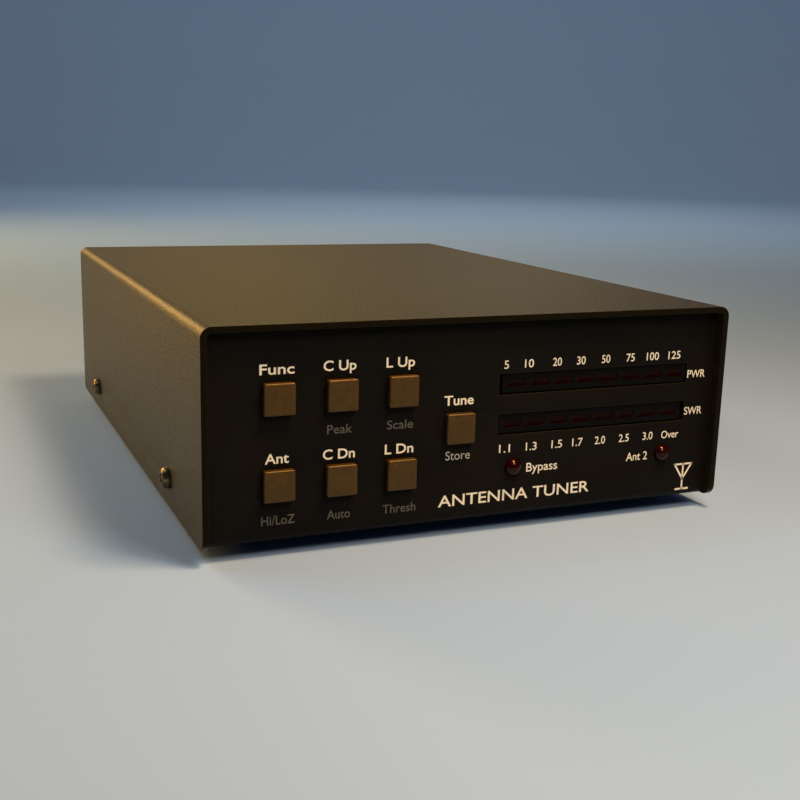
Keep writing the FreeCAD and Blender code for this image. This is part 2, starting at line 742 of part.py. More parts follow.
def ground_washer():
    """A flat washer under the wing nut."""
    at = Vector(GROUND_X, WASHER_FRONT, SOCKET_RISE)
    disc = rod(4.5, at, Vector(0, 1, 0), WASHER_THICKNESS)
    hole = rod(M4_RADIUS + 0.15, at - Vector(0, 1, 0), Vector(0, 1, 0), WASHER_THICKNESS + 2)
    return disc.cut(hole)


def wing_outline(side):
    """The flat outline of one wing, as a closed wire in the plane of the two wings."""
    hub_side = 3.0
    half_span = WING_SPAN / 2
    tip_radius = 2.6
    inner_top = 4.4
    bulge = tip_radius * (1 - math.sqrt(0.5))
    points = [
        Vector(side * hub_side, 0, 0.3),
        Vector(side * 4.4, 0, 1.0),
        Vector(side * half_span, 0, WING_HEIGHT - tip_radius),
    ]
    tip_middle = Vector(side * (half_span - tip_radius), 0, WING_HEIGHT)
    inner = Vector(side * inner_top, 0, WING_HEIGHT - tip_radius)
    hub_top = Vector(side * hub_side, 0, WING_HUB_HEIGHT - 0.4)
    outer_bulge = Vector(side * (half_span - bulge), 0, WING_HEIGHT - bulge)
    inner_bulge = Vector(side * (inner_top + 0.55), 0, WING_HEIGHT - 0.8)
    return Part.Wire([
        Part.LineSegment(points[0], points[1]).toShape(),
        Part.LineSegment(points[1], points[2]).toShape(),
        Part.Arc(points[2], outer_bulge, tip_middle).toShape(),
        Part.Arc(tip_middle, inner_bulge, inner).toShape(),
        Part.LineSegment(inner, hub_top).toShape(),
        Part.LineSegment(hub_top, points[0]).toShape(),
    ])


def wing_nut():
    """A wing nut: a tapered hub with two upright wings."""
    hub = turned([(0, 0), (4.0, 0), (3.4, WING_HUB_HEIGHT), (0, WING_HUB_HEIGHT)],
                 Vector(0, 0, 0), Vector(0, 0, 1))
    wings = []
    for side in (-1, 1):
        wing = Part.Face(wing_outline(side)).extrude(Vector(0, WING_THICKNESS, 0))
        wing.translate(Vector(0, -WING_THICKNESS / 2, 0))
        wings.append(wing)
    body = hub.fuse(wings).removeSplitter()
    body = body.cut(rod(M4_RADIUS + RUNNING_CLEARANCE, Vector(0, 0, -1), Vector(0, 0, 1), WING_HEIGHT + 2))
    return placed(body, Vector(GROUND_X, WING_BASE, SOCKET_RISE), Vector(0, 1, 0))


# Jacks at the rear edge of the board.

DC_BODY_WIDTH = 9.0
DC_BODY_HEIGHT = 11.0
DC_BODY_DEPTH = 14.0
DC_BORE = 3.15
DC_BORE_DEPTH = 9.5
DC_PIN_RADIUS = 1.25
DC_ROOT_RADIUS = 1.45
DC_ROOT_LENGTH = 2.0
DC_PIN_SHORT = 0.7
JACK_FRONT = REAR_INSIDE - 0.2
RADIO_NOSE_RADIUS = 3.0
RADIO_NOSE_END = REAR_FACE + 3.0
RADIO_BORE = 1.8
RADIO_BORE_DEPTH = 14.0
RADIO_BODY_WIDTH = 9.0
RADIO_BODY_DEPTH = 13.0
RADIO_BODY_HEIGHT = 9.0


def dc_jack():
    """The housing of the power jack, with its round well and the seat of its centre pin."""
    z = BOARD_TOP + DC_AXIS_OVER_BOARD
    body = block(around(DC_JACK_X, DC_BODY_WIDTH), (JACK_FRONT - DC_BODY_DEPTH, JACK_FRONT),
                 (BOARD_TOP, BOARD_TOP + DC_BODY_HEIGHT))
    body = rounded(body, Vector(0, 1, 0), 0.8, lambda point: point.z > BOARD_TOP + 1)
    well = rod(DC_BORE, Vector(DC_JACK_X, JACK_FRONT - DC_BORE_DEPTH, z), Vector(0, 1, 0), 20)
    seat_y = JACK_FRONT - DC_BORE_DEPTH - DC_ROOT_LENGTH
    seat = rod(DC_ROOT_RADIUS + 0.02, Vector(DC_JACK_X, seat_y, z), Vector(0, 1, 0), DC_ROOT_LENGTH + 1)
    return body.cut([well, seat])


def dc_jack_pin():
    """The centre pin of the power jack, with a thicker root in its seat."""
    tip = DC_BORE_DEPTH - DC_PIN_SHORT
    chamfer = 0.4
    return turned(
        [
            (0, -DC_ROOT_LENGTH),
            (DC_ROOT_RADIUS, -DC_ROOT_LENGTH),
            (DC_ROOT_RADIUS, 0),
            (DC_PIN_RADIUS, 0),
            (DC_PIN_RADIUS, tip - chamfer),
            (DC_PIN_RADIUS - chamfer, tip),
            (0, tip),
        ],
        Vector(DC_JACK_X, JACK_FRONT - DC_BORE_DEPTH, BOARD_TOP + DC_AXIS_OVER_BOARD),
        Vector(0, 1, 0),
    )


def radio_jack():
    """The 3.5 mm control jack: a body on the board with a threaded nose through the panel."""
    z = BOARD_TOP + RADIO_AXIS_OVER_BOARD
    body = block(around(RADIO_JACK_X, RADIO_BODY_WIDTH), (JACK_FRONT - RADIO_BODY_DEPTH, JACK_FRONT),
                 (BOARD_TOP, BOARD_TOP + RADIO_BODY_HEIGHT))
    nose = rod(RADIO_NOSE_RADIUS, Vector(RADIO_JACK_X, JACK_FRONT - 1, z), Vector(0, 1, 0),
               RADIO_NOSE_END - JACK_FRONT + 1)
    bore = rod(RADIO_BORE, Vector(RADIO_JACK_X, RADIO_NOSE_END - RADIO_BORE_DEPTH, z), Vector(0, 1, 0), 20)
    return body.fuse(nose).cut(bore)


def radio_jack_nut():
    """The nut on the nose of the control jack."""
    at = Vector(RADIO_JACK_X, REAR_FACE, BOARD_TOP + RADIO_AXIS_OVER_BOARD)
    return hexagon(8.0, 2.0, RADIO_NOSE_RADIUS + FIT_SLACK, at, Vector(0, 1, 0))


# The tuning network: coils, capacitors and the relays that switch them.

RELAY_LENGTH = 19.0
RELAY_WIDTH = 15.5
RELAY_HEIGHT = 15.3
RELAY_FIRST_Y = -78.0
RELAY_PITCH = 19.6
RELAYS_A_SIDE = 8
ANTENNA_RELAY_PLACES = ((-22.0, 53.5), (-3.0, 53.5), (-5.0, 73.0))
LARGE_COIL_X = -22.0
LARGE_COIL_FIRST_Y = -70.0
LARGE_COIL_PITCH = 30.5
SMALL_COIL_X = 3.5
SMALL_COIL_FIRST_Y = -74.0
SMALL_COIL_PITCH = 22.0
COUPLER_X = (-40.0, -24.0)
COUPLER_Y = 77.0
MICA_X = 34.0
MICA_THICKNESS = 4.4
MICA_WIDTH = 12.0
MICA_HEIGHT = 10.0
MICA_LEG = 0.35
MICA_LEG_SPREAD = 3.0
INDUCTOR_RELAY_X = -48.0
CAPACITOR_RELAY_X = 48.0
LARGE_CORE = (13.45, 7.25, 11.1)
SMALL_CORE = (8.75, 4.7, 4.9)
COUPLER_CORE = (6.35, 3.55, 4.9)
LARGE_WIRE = 1.0
SMALL_WIRE = 0.8
WIRE_CLEARANCE = 0.15
LARGE_TURNS = (20, 16, 12, 9)
SMALL_TURNS = (14, 10, 7, 5)
COUPLER_TURNS = 10


def relay(x, y):
    """A sealed sugar-cube relay standing on the board."""
    body = block(around(x, RELAY_WIDTH), around(y, RELAY_LENGTH), (BOARD_TOP, BOARD_TOP + RELAY_HEIGHT))
    body = rounded(body, Vector(0, 0, 1), 0.8)
    top = BOARD_TOP + RELAY_HEIGHT
    return body.makeChamfer(0.4, [edge for edge in body.Edges if abs(edge.CenterOfMass.z - top) < 1e-6])


def relay_column(x):
    """The row of relays along one side of the board."""
    return [relay(x, RELAY_FIRST_Y + index * RELAY_PITCH) for index in range(RELAYS_A_SIDE)]


def core_rise(size, wire, upright):
    """The height of a toroid's middle, from its size, wire and the way it stands."""
    outer, _, height = size
    half = outer if upright else height / 2
    return BOARD_TOP + WIRE_CLEARANCE + wire + half + 0.1


def toroid_core(size, at, along):
    """A ring core with rounded edges."""
    outer, inner, height = size
    half = height / 2
    edge = 0.9
    return turned(
        [
            (inner + edge, -half), (outer - edge, -half), (outer, edge - half), (outer, half - edge),
            (outer - edge, half), (inner + edge, half), (inner, half - edge), (inner, edge - half),
        ],
        at,
        along,
    )


def winding_turn(size, wire):
    """One turn of wire round a core's section, in the plane of its axis."""
    outer, inner, height = size
    near = WIRE_CLEARANCE
    far = WIRE_CLEARANCE + wire
    thick = (-wire / 2, wire / 2)
    outside = block((inner - far, outer + far), thick, (-height / 2 - far, height / 2 + far))
    outside = rounded(outside, Vector(0, 1, 0), wire + 0.4)
    inside = block((inner - near, outer + near), (-wire, wire), (-height / 2 - near, height / 2 + near))
    inside = rounded(inside, Vector(0, 1, 0), 0.4)
    return outside.cut(inside)


def winding(size, wire, turns, at, along):
    """The turns of a coil, spread over most of its core."""
    spread = 320.0
    one = winding_turn(size, wire)
    facing = FreeCAD.Rotation(Vector(0, 0, 1), along)
    made = []
    for index in range(turns):
        angle = spread * (index + 0.5) / turns
        loop = one.copy()
        loop.Placement = FreeCAD.Placement(at, facing.multiply(FreeCAD.Rotation(Vector(0, 0, 1), angle)))
        made.append(loop)
    return made


def tuning_coils():
    """The cores and windings of the eight coils of the network."""
    cores = []
    windings = []
    up = Vector(0, 0, 1)
    rows = (
        (LARGE_CORE, LARGE_WIRE, LARGE_TURNS, LARGE_COIL_X, LARGE_COIL_FIRST_Y, LARGE_COIL_PITCH),
        (SMALL_CORE, SMALL_WIRE, SMALL_TURNS, SMALL_COIL_X, SMALL_COIL_FIRST_Y, SMALL_COIL_PITCH),
    )
    for size, wire, turn_counts, x, first_y, pitch in rows:
        z = core_rise(size, wire, False)
        for index, turns in enumerate(turn_counts):
            at = Vector(x, first_y + index * pitch, z)
            cores.append(toroid_core(size, at, up))
            windings.extend(winding(size, wire, turns, at, up))
    return cores, windings


def coupler_coils():
    """The two small upright toroids that sense power and match beside the transceiver socket."""
    cores = []
    windings = []
    z = core_rise(COUPLER_CORE, SMALL_WIRE, True)
    for x in COUPLER_X:
        at = Vector(x, COUPLER_Y, z)
        cores.append(toroid_core(COUPLER_CORE, at, Vector(0, 1, 0)))
        windings.extend(winding(COUPLER_CORE, SMALL_WIRE, COUPLER_TURNS, at, Vector(0, 1, 0)))
    return cores, windings


def mica_capacitors():
    """A dipped capacitor beside each capacitor relay."""
    made = []
    for index in range(RELAYS_A_SIDE):
        y = RELAY_FIRST_Y + index * RELAY_PITCH
        bottom = BOARD_TOP + 0.8
        body = block(around(MICA_X, MICA_THICKNESS), around(y, MICA_WIDTH), (bottom, bottom + MICA_HEIGHT))
        body = rounded(body, Vector(1, 0, 0), 2.5)
        half = MICA_THICKNESS / 2
        rims = [edge for edge in body.Edges if abs(abs(edge.CenterOfMass.x - MICA_X) - half) < 1e-6]
        body = body.makeFillet(1.2, rims)
        legs = []
        for offset in (-MICA_LEG_SPREAD, MICA_LEG_SPREAD):
            legs.append(rod(MICA_LEG, Vector(MICA_X, y + offset, BOARD_TOP), Vector(0, 0, 1), 2.0))
        made.append(body.fuse(legs))
    return made


# Control electronics.

LEG_PITCH = 2.54
CHIP_X = 20.0
DRIVER_CHIP_Y = (-14.0, 16.0, 46.0)
CONTROLLER_X = 21.2
CONTROLLER_Y = -58.0
CRYSTAL_PLACE = (3.5, 12.0)
CRYSTAL_SIZE = (11.0, 4.7, 3.6)
REGULATOR_PLACE = (35.0, 78.0)
REGULATOR_WIDTH = 10.0
REGULATOR_BODY = 3.2
REGULATOR_TAB = 1.3
REGULATOR_RISE = 3.0
REGULATOR_BODY_TOP = 12.0
REGULATOR_TAB_TOP = 18.5
FILTER_CAPACITOR_PLACES = ((24.5, 77.0), (15.5, 77.0))
FILTER_CAPACITOR_RADIUS = 4.0
FILTER_CAPACITOR_HEIGHT = 11.5


def chip(x, y, length, width, pins_a_side):
    """A dual-in-line chip along Y, with its legs standing on the board."""
    leg_row = width / 2 + 0.75
    leg_width = 1.1
    leg_thickness = 0.3
    leg_top = BOARD_TOP + 2.4
    body_top = BOARD_TOP + 4.2
    body = block(around(x, width), around(y, length), (BOARD_TOP + 0.6, body_top))
    body = body.makeChamfer(0.3, edges_along(body, Vector(0, 1, 0), lambda point: point.z > leg_top))
    body = body.cut(rod(1.2, Vector(x, y - length / 2, body_top - 0.8), Vector(0, 0, 1), 2))
    legs = []
    for index in range(pins_a_side):
        leg_y = around(y + (index - (pins_a_side - 1) / 2) * LEG_PITCH, leg_width)
        for side in (-1, 1):
            inner_x = x + side * (width / 2 - 0.3)
            outer_x = x + side * leg_row
            legs.append(block((inner_x, outer_x), leg_y, (leg_top - leg_thickness, leg_top)))
            legs.append(block((outer_x - side * leg_thickness, outer_x), leg_y, (BOARD_TOP, leg_top)))
    return body.fuse(legs).removeSplitter()


def crystal():
    """The clock crystal in its flat metal can."""
    x, y = CRYSTAL_PLACE
    length, width, height = CRYSTAL_SIZE
    can = block(around(x, length), around(y, width), (BOARD_TOP, BOARD_TOP + height))
    return rounded(can, Vector(0, 0, 1), 0.47 * width)


def voltage_regulator():
    """An upright three-legged regulator with its metal tab."""
    x, y = REGULATOR_PLACE
    bottom = BOARD_TOP + REGULATOR_RISE
    across = around(x, REGULATOR_WIDTH)
    body = block(across, (y - REGULATOR_BODY, y), (bottom, BOARD_TOP + REGULATOR_BODY_TOP))
    tab = block(across, (y, y + REGULATOR_TAB), (bottom, BOARD_TOP + REGULATOR_TAB_TOP))
    hole = Vector(x, y - 1, BOARD_TOP + REGULATOR_TAB_TOP - 3)
    parts = [tab.cut(rod(1.8, hole, Vector(0, 1, 0), REGULATOR_TAB + 2))]
    for offset in (-LEG_PITCH, 0, LEG_PITCH):
        parts.append(block(around(x + offset, 0.9), around(y - REGULATOR_BODY / 2, 0.5),
                           (BOARD_TOP, bottom + 0.2)))
    return body.fuse(parts).removeSplitter()


def filter_capacitors():
    """Two upright electrolytic capacitors."""
    made = []
    for x, y in FILTER_CAPACITOR_PLACES:
        can = rod(FILTER_CAPACITOR_RADIUS, Vector(x, y, BOARD_TOP), Vector(0, 0, 1), FILTER_CAPACITOR_HEIGHT)
        rims = [edge for edge in can.Edges if len(edge.Vertexes) == 1]
        made.append(can.makeFillet(0.6, rims))
    return made


RIBBON_X = (-10.0, 10.0)
RIBBON_THICKNESS = 0.9
RIBBON_Y = -88.4
RIBBON_BEND = 3.0
RIBBON_TOP = 30.0
CONNECTOR_DEPTH = 2.6


def lead_connectors():
    """The two connectors of the ribbon, on the main board and behind the display board."""
    lower = block(RIBBON_X, around(RIBBON_Y, 2.5), (BOARD_TOP, BOARD_TOP + CONNECTOR_DEPTH))
    upper = block(RIBBON_X, (DISPLAY_BACK, DISPLAY_BACK + CONNECTOR_DEPTH), around(RIBBON_TOP, 2.5))
    return [lower, upper]


def display_ribbon():
    """The flat ribbon from the main board up to the display board."""
    half = RIBBON_THICKNESS / 2
    start_z = BOARD_TOP + CONNECTOR_DEPTH
    bend_z = RIBBON_TOP - RIBBON_BEND
    bend_y = RIBBON_Y - RIBBON_BEND
    end_y = DISPLAY_BACK + CONNECTOR_DEPTH
    upright = block(RIBBON_X, (RIBBON_Y - half, RIBBON_Y + half), (start_z, bend_z))
    corner = Vector(RIBBON_X[0], bend_y, bend_z)
    width = RIBBON_X[1] - RIBBON_X[0]
    ring = rod(RIBBON_BEND + half, corner, Vector(1, 0, 0), width)
    ring = ring.cut(rod(RIBBON_BEND - half, corner, Vector(1, 0, 0), width))
    quarter = block(RIBBON_X, (bend_y, RIBBON_Y + 1), (bend_z, RIBBON_TOP + 1))
    level = block(RIBBON_X, (end_y, bend_y), (RIBBON_TOP - half, RIBBON_TOP + half))
    return upright.fuse([ring.common(quarter), level]).removeSplitter()


def main():
    """Write every node."""
    os.makedirs("parts", exist_ok=True)
    save("base_pan", base_pan())
    save("cover", cover_shell())
    save("cover_screws", *cover_screws())
    save("rubber_feet", *rubber_feet())
    for key in KEYS:
        save(key + "_button", key_cap(key))
        save(key + "_plunger", key_plunger(key))
    save("switch_bodies", *[switch_body(key) for key in KEYS])
    for name, rise, shift in (("power", POWER_RISE, BAR_SHIFT), ("swr", SWR_RISE, -BAR_SHIFT)):
        save(name + "_bar_housing", bar_housing(rise, shift))
        save(name + "_bar_segments", *bar_segments(rise, shift))
    save("bypass_led", round_led(BYPASS_LED_X))
    save("antenna_led", round_led(ANTENNA_LED_X))
    save("display_board", display_board())
    save("display_standoffs", *display_standoffs())
    save("main_board", main_board())
    save("board_standoffs", *board_standoffs())
    save("board_screws", *board_screws())
    for name, x in SOCKETS.items():
        save(name + "_socket", socket_shell(x))
    save("socket_insulators", *[socket_insulator(x) for x in SOCKETS.values()])
    save("socket_contacts", *[socket_contact(x) for x in SOCKETS.values()])
    save("socket_screws", *socket_screws())
    save("socket_nuts", *socket_nuts())
    save("socket_leads", *[socket_lead(x) for x in SOCKETS.values()])
    save("ground_stud", ground_stud())
    save("ground_hex_nut", hexagon(M4_ACROSS_FLATS, M4_NUT_HEIGHT, M4_RADIUS + RUNNING_CLEARANCE,
                                   Vector(GROUND_X, REAR_FACE, SOCKET_RISE), Vector(0, 1, 0)))
    save("ground_washer", ground_washer())
    save("ground_wing_nut", wing_nut())
    save("dc_jack", dc_jack())
    save("dc_jack_pin", dc_jack_pin())
    save("radio_jack", radio_jack())
    save("radio_jack_nut", radio_jack_nut())
    cores, windings = tuning_coils()
    save("inductor_cores", *cores)
    save("inductor_windings", *windings)
    cores, windings = coupler_coils()
    save("coupler_cores", *cores)
    save("coupler_windings", *windings)
    save("inductor_relays", *relay_column(INDUCTOR_RELAY_X))
    save("capacitor_relays", *relay_column(CAPACITOR_RELAY_X))
    save("antenna_relays", *[relay(x, y) for x, y in ANTENNA_RELAY_PLACES])
    save("mica_capacitors", *mica_capacitors())
    save("microcontroller", chip(CONTROLLER_X, CONTROLLER_Y, 52.0, 13.7, 20))
    save("driver_chips", *[chip(CHIP_X, y, 25.4, 6.4, 10) for y in DRIVER_CHIP_Y])
    save("crystal", crystal())
    save("voltage_regulator", voltage_regulator())
    save("filter_capacitors", *filter_capacitors())
    save("display_lead", display_ribbon(), *lead_connectors())


main()
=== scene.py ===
import json
import math

import bmesh
import bpy
from mathutils import Matrix, Vector

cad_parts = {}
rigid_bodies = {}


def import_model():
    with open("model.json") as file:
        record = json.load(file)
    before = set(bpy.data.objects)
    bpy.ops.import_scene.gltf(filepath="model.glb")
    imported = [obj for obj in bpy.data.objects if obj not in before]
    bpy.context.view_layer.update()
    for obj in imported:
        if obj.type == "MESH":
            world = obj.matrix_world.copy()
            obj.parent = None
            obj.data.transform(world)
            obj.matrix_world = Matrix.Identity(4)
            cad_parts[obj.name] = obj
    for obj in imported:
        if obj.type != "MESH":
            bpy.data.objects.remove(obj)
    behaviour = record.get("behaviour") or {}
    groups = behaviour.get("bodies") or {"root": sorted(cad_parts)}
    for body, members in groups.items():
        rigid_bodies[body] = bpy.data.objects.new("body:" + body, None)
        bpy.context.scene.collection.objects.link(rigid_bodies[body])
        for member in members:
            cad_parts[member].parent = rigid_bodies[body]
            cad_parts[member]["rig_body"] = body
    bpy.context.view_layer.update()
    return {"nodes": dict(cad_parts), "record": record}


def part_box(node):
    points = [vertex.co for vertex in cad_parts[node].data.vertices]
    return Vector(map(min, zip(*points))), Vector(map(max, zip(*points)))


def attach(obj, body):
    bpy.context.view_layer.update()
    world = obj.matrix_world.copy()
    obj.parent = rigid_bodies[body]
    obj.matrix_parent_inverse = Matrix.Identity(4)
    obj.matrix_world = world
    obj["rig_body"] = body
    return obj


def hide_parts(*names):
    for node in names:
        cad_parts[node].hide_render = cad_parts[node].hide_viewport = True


# The looks of a desktop antenna tuner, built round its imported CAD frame. Metres.
# +X is the right-hand side seen from the front, +Y points to the rear and +Z is up.

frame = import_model()
NODES = frame["nodes"]
SLOT_OF = {part["node"]: part["material_slot"] for part in frame["record"]["subparts"]}

MM = 0.001
KEYS = ("func", "c_up", "l_up", "tune", "ant", "c_down", "l_down")
SOCKETS = ("transceiver", "antenna_1", "antenna_2")


# Places read from the frame

def middle(node):
    """The middle of a node's box."""
    low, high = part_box(node)
    return (low + high) / 2


CASE_LOW, CASE_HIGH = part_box("cover")
WALL_BOTTOM = CASE_LOW.z
PANEL_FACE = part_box("base_pan")[0].y
REAR_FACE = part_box("base_pan")[1].y
SHEET = 1.6 * MM  # how thick the pan's metal is


# Materials

MIX_A, MIX_B, MIX_RESULT = 6, 7, 2  # where a mix node keeps its sockets for colours


class Finish:
    """A node material whose colour, roughness and bump are built up in layers."""

    def __init__(self, name, color, roughness, metallic=0.0, specular=0.5):
        self.material = bpy.data.materials.new(name)
        self.material.use_nodes = True
        self.tree = self.material.node_tree
        self.shader = self.tree.nodes["Principled BSDF"]
        self.shader.inputs["Metallic"].default_value = metallic
        self.shader.inputs["Specular IOR Level"].default_value = specular
        self.place = self.node("ShaderNodeTexCoord").outputs["Object"]
        self.color = self.shader.inputs["Base Color"]
        self.color.default_value = (*color, 1)
        self.rough = self.shader.inputs["Roughness"]
        self.rough.default_value = roughness
        self.normal = None

    def node(self, kind, **settings):
        """A new node with some of its settings."""
        made = self.tree.nodes.new(kind)
        for name, value in settings.items():
            setattr(made, name, value)
        return made

    def link(self, source, target):
        """Join an output to an input."""
        self.tree.links.new(source, target)

    def between(self, value, low, high):
        """A value stretched so that low gives 0 and high gives 1."""
        made = self.node("ShaderNodeMapRange", interpolation_type="SMOOTHSTEP")
        self.link(value, made.inputs["Value"])
        made.inputs["From Min"].default_value = low
        made.inputs["From Max"].default_value = high
        return made.outputs["Result"]

    def spread(self, stretch):
        """The surface's own coordinates, stretched along each axis."""
        made = self.node("ShaderNodeMapping")
        made.inputs["Scale"].default_value = stretch
        self.link(self.place, made.inputs["Vector"])
        return made.outputs["Vector"]

    def noise(self, grain, low=0.35, high=0.65, detail=2.0, stretch=None):
        """A cloudy mask; grain is the size of its spots in metres."""
        made = self.node("ShaderNodeTexNoise")
        made.inputs["Scale"].default_value = 1 / grain
        made.inputs["Detail"].default_value = detail
        self.link(self.spread(stretch) if stretch else self.place, made.inputs["Vector"])
        return self.between(made.outputs["Fac"], low, high)

    def edges(self, radius, low=0.02, high=0.25):
        """A mask of the corners and edges that hands and tools rub, which some finishes also use for a
        painted highlight.
        """
        soft = self.node("ShaderNodeBevel", samples=4)
        soft.inputs["Radius"].default_value = radius
        hard = self.node("ShaderNodeNewGeometry")
        dot = self.node("ShaderNodeVectorMath", operation="DOT_PRODUCT")
        self.link(soft.outputs["Normal"], dot.inputs[0])
        self.link(hard.outputs["Normal"], dot.inputs[1])
        turn = self.node("ShaderNodeMath", operation="SUBTRACT")
        turn.inputs[0].default_value = 1.0
        self.link(dot.outputs["Value"], turn.inputs[1])
        return self.between(turn.outputs["Value"], low, high)

    def facing(self, way, low=0.7, high=0.95):
        """A mask of the surfaces that are turned one way."""
        surface = self.node("ShaderNodeNewGeometry")
        dot = self.node("ShaderNodeVectorMath", operation="DOT_PRODUCT")
        self.link(surface.outputs["Normal"], dot.inputs[0])
        dot.inputs[1].default_value = way
        return self.between(dot.outputs["Value"], low, high)

    def weaker(self, mask, strength):
        """A mask turned down."""
        made = self.node("ShaderNodeMath", operation="MULTIPLY")
        self.link(mask, made.inputs[0])
        made.inputs[1].default_value = strength
        return made.outputs["Value"]

    def paint(self, mask, color, strength=1.0):
        """Lay a colour over the ones below where the mask shows."""
        mix = self.node("ShaderNodeMix", data_type="RGBA")
        self.link(self.weaker(mask, strength), mix.inputs["Factor"])
        if self.color.is_output:
            self.link(self.color, mix.inputs[MIX_A])
        else:
            mix.inputs[MIX_A].default_value = self.color.default_value
        mix.inputs[MIX_B].default_value = (*color, 1)
        self.color = mix.outputs[MIX_RESULT]

    def polish(self, mask, roughness):
        """Lay a roughness over the ones below where the mask shows."""
        mix = self.node("ShaderNodeMix", data_type="FLOAT")
        self.link(mask, mix.inputs["Factor"])
        if self.rough.is_output:
            self.link(self.rough, mix.inputs["A"])
        else:
            mix.inputs["A"].default_value = self.rough.default_value
        mix.inputs["B"].default_value = roughness
        self.rough = mix.outputs["Result"]

    def fade(self, name, mask, value):
        """Bring one of the shader's settings to a value where the mask shows."""
        mix = self.node("ShaderNodeMix", data_type="FLOAT")
        self.link(mask, mix.inputs["Factor"])
        mix.inputs["A"].default_value = self.shader.inputs[name].default_value
        mix.inputs["B"].default_value = value
        self.link(mix.outputs["Result"], self.shader.inputs[name])

    def bump(self, height, distance, strength=1.0):
        """Raise the surface where the height shows."""
        made = self.node("ShaderNodeBump")
        made.inputs["Strength"].default_value = strength
        made.inputs["Distance"].default_value = distance
        self.link(height, made.inputs["Height"])
        if self.normal:
            self.link(self.normal, made.inputs["Normal"])
        self.normal = made.outputs["Normal"]

    def set(self, name, value):
        """A constant on the shader's own socket."""
        self.shader.inputs[name].default_value = value

    def done(self):
        """The material, with its layers joined to the shader."""
        if self.color.is_output:
            self.link(self.color, self.shader.inputs["Base Color"])
        if self.rough.is_output:
            self.link(self.rough, self.shader.inputs["Roughness"])
        if self.normal:
            self.link(self.normal, self.shader.inputs["Normal"])
        return self.material


def cover_paint():
    """Near-black powder coat that shines bronze at a low angle, with painted shade on its front-facing cut
    edges: painted darker and given less shine there.
    """
    made = Finish("cover_paint", (0.0035, 0.0029, 0.0018), 0.42, specular=0.5)
    made.set("Specular Tint", (1.0, 0.84, 0.42, 1))
    made.set("Sheen Weight", 0.08)
    made.set("Sheen Roughness", 0.4)
    made.set("Sheen Tint", (1.0, 0.8, 0.28, 1))
    made.paint(made.noise(0.06, detail=3), (0.003, 0.0024, 0.0015))
    made.paint(made.noise(0.0007, 0.5, 0.7), (0.016, 0.012, 0.006), 0.55)
    made.paint(made.noise(0.0017, 0.7, 0.76), (0.06, 0.045, 0.02), 0.5)
    # Painted shade: the faces turned to the front, the sheet's cut edges, are painted darker over the speckle
    # and shine less.
    cut = made.facing((0.0, -1.0, 0.0))
    made.paint(cut, (0.0035, 0.0026, 0.0015), 0.9)
    made.fade("Specular IOR Level", cut, 0.1)
    # Edges painted lighter: partly rubbed wear, partly a painted highlight along the sheet's edges.
    made.paint(made.edges(0.00018, 0.06, 0.3), (0.12, 0.08, 0.025), 0.5)
    made.polish(made.noise(0.0008, 0.3, 0.7), 0.5)
    made.bump(made.noise(0.0007, 0.2, 0.8), 0.00012, 0.7)
    made.bump(made.noise(0.0014, 0.2, 0.8), 0.00007, 0.4)
    return made.done()


def panel_paint():
    """Near-black satin paint, a little brown where it has worn."""
    made = Finish("panel_paint", (0.0042, 0.0031, 0.0019), 0.5, specular=0.1)
    made.paint(made.noise(0.03, detail=3), (0.006, 0.0043, 0.0024))
    made.paint(made.noise(0.0005, 0.55, 0.75), (0.014, 0.009, 0.005), 0.5)
    made.paint(made.edges(0.0003), (0.09, 0.062, 0.03), 0.5)
    made.polish(made.noise(0.0007, 0.3, 0.7), 0.62)
    made.bump(made.noise(0.0004, 0.2, 0.8), 0.00003, 0.4)
    return made.done()


def shade(color, by):
    """A colour made darker or lighter."""
    return tuple(min(1.0, by * part) for part in color)


def plated(name, color, roughness, stain=None):
    """Plated metal with a fine grain, small stains and brighter edges."""
    grain = 0.0012
    made = Finish(name, color, roughness, metallic=1.0)
    made.paint(made.noise(grain * 3, detail=4), stain or shade(color, 0.62), 0.6)
    made.paint(made.edges(0.0002), shade(color, 1.2), 0.5)
    made.polish(made.noise(grain, 0.3, 0.7, detail=3), roughness + 0.16)
    made.bump(made.noise(grain / 3, 0.2, 0.8), 0.00001, 0.35)
    return made.done()


def moulded(name, color, roughness, grain=0.0004, worn=1.35, depth=0.00003, specular=0.5):
    """Moulded plastic with a fine spark-eroded grain and edges rubbed lighter."""
    made = Finish(name, color, roughness, specular=specular)
    made.paint(made.noise(0.008, detail=3), shade(color, 0.82), 0.8)
    made.paint(made.noise(grain, 0.5, 0.75), shade(color, 1.25), 0.5)
    made.paint(made.edges(0.0003), shade(color, worn), 0.6)
    made.polish(made.noise(grain * 2, 0.3, 0.7), roughness + 0.12)
    made.bump(made.noise(grain, 0.2, 0.8), depth, 0.5)
    return made.done()


def key_plastic():
    """Grey-brown moulded caps, blotched by fingers and polished along their edges, whose edges are painted
    lighter: partly wear, partly a painted highlight.
    """
    made = Finish("key_grey", (0.048, 0.02, 0.0036), 0.42, specular=0.8)
    made.set("Specular Tint", (1.0, 0.7, 0.3, 1))
    made.paint(made.noise(0.0025, detail=4), (0.03, 0.0145, 0.0034), 0.8)
    made.paint(made.noise(0.0006, 0.55, 0.75), (0.09, 0.044, 0.013), 0.6)
    # Rims painted much lighter: partly rubbed wear, partly a painted highlight where the lamps catch the
    # rounded edges.
    rims = made.edges(0.0003)
    made.paint(rims, (0.2, 0.125, 0.035), 0.7)
    made.polish(made.noise(0.001, 0.3, 0.7), 0.52)
    made.polish(rims, 0.24)
    made.bump(made.noise(0.0005, 0.2, 0.8), 0.00003, 0.5)
    return made.done()


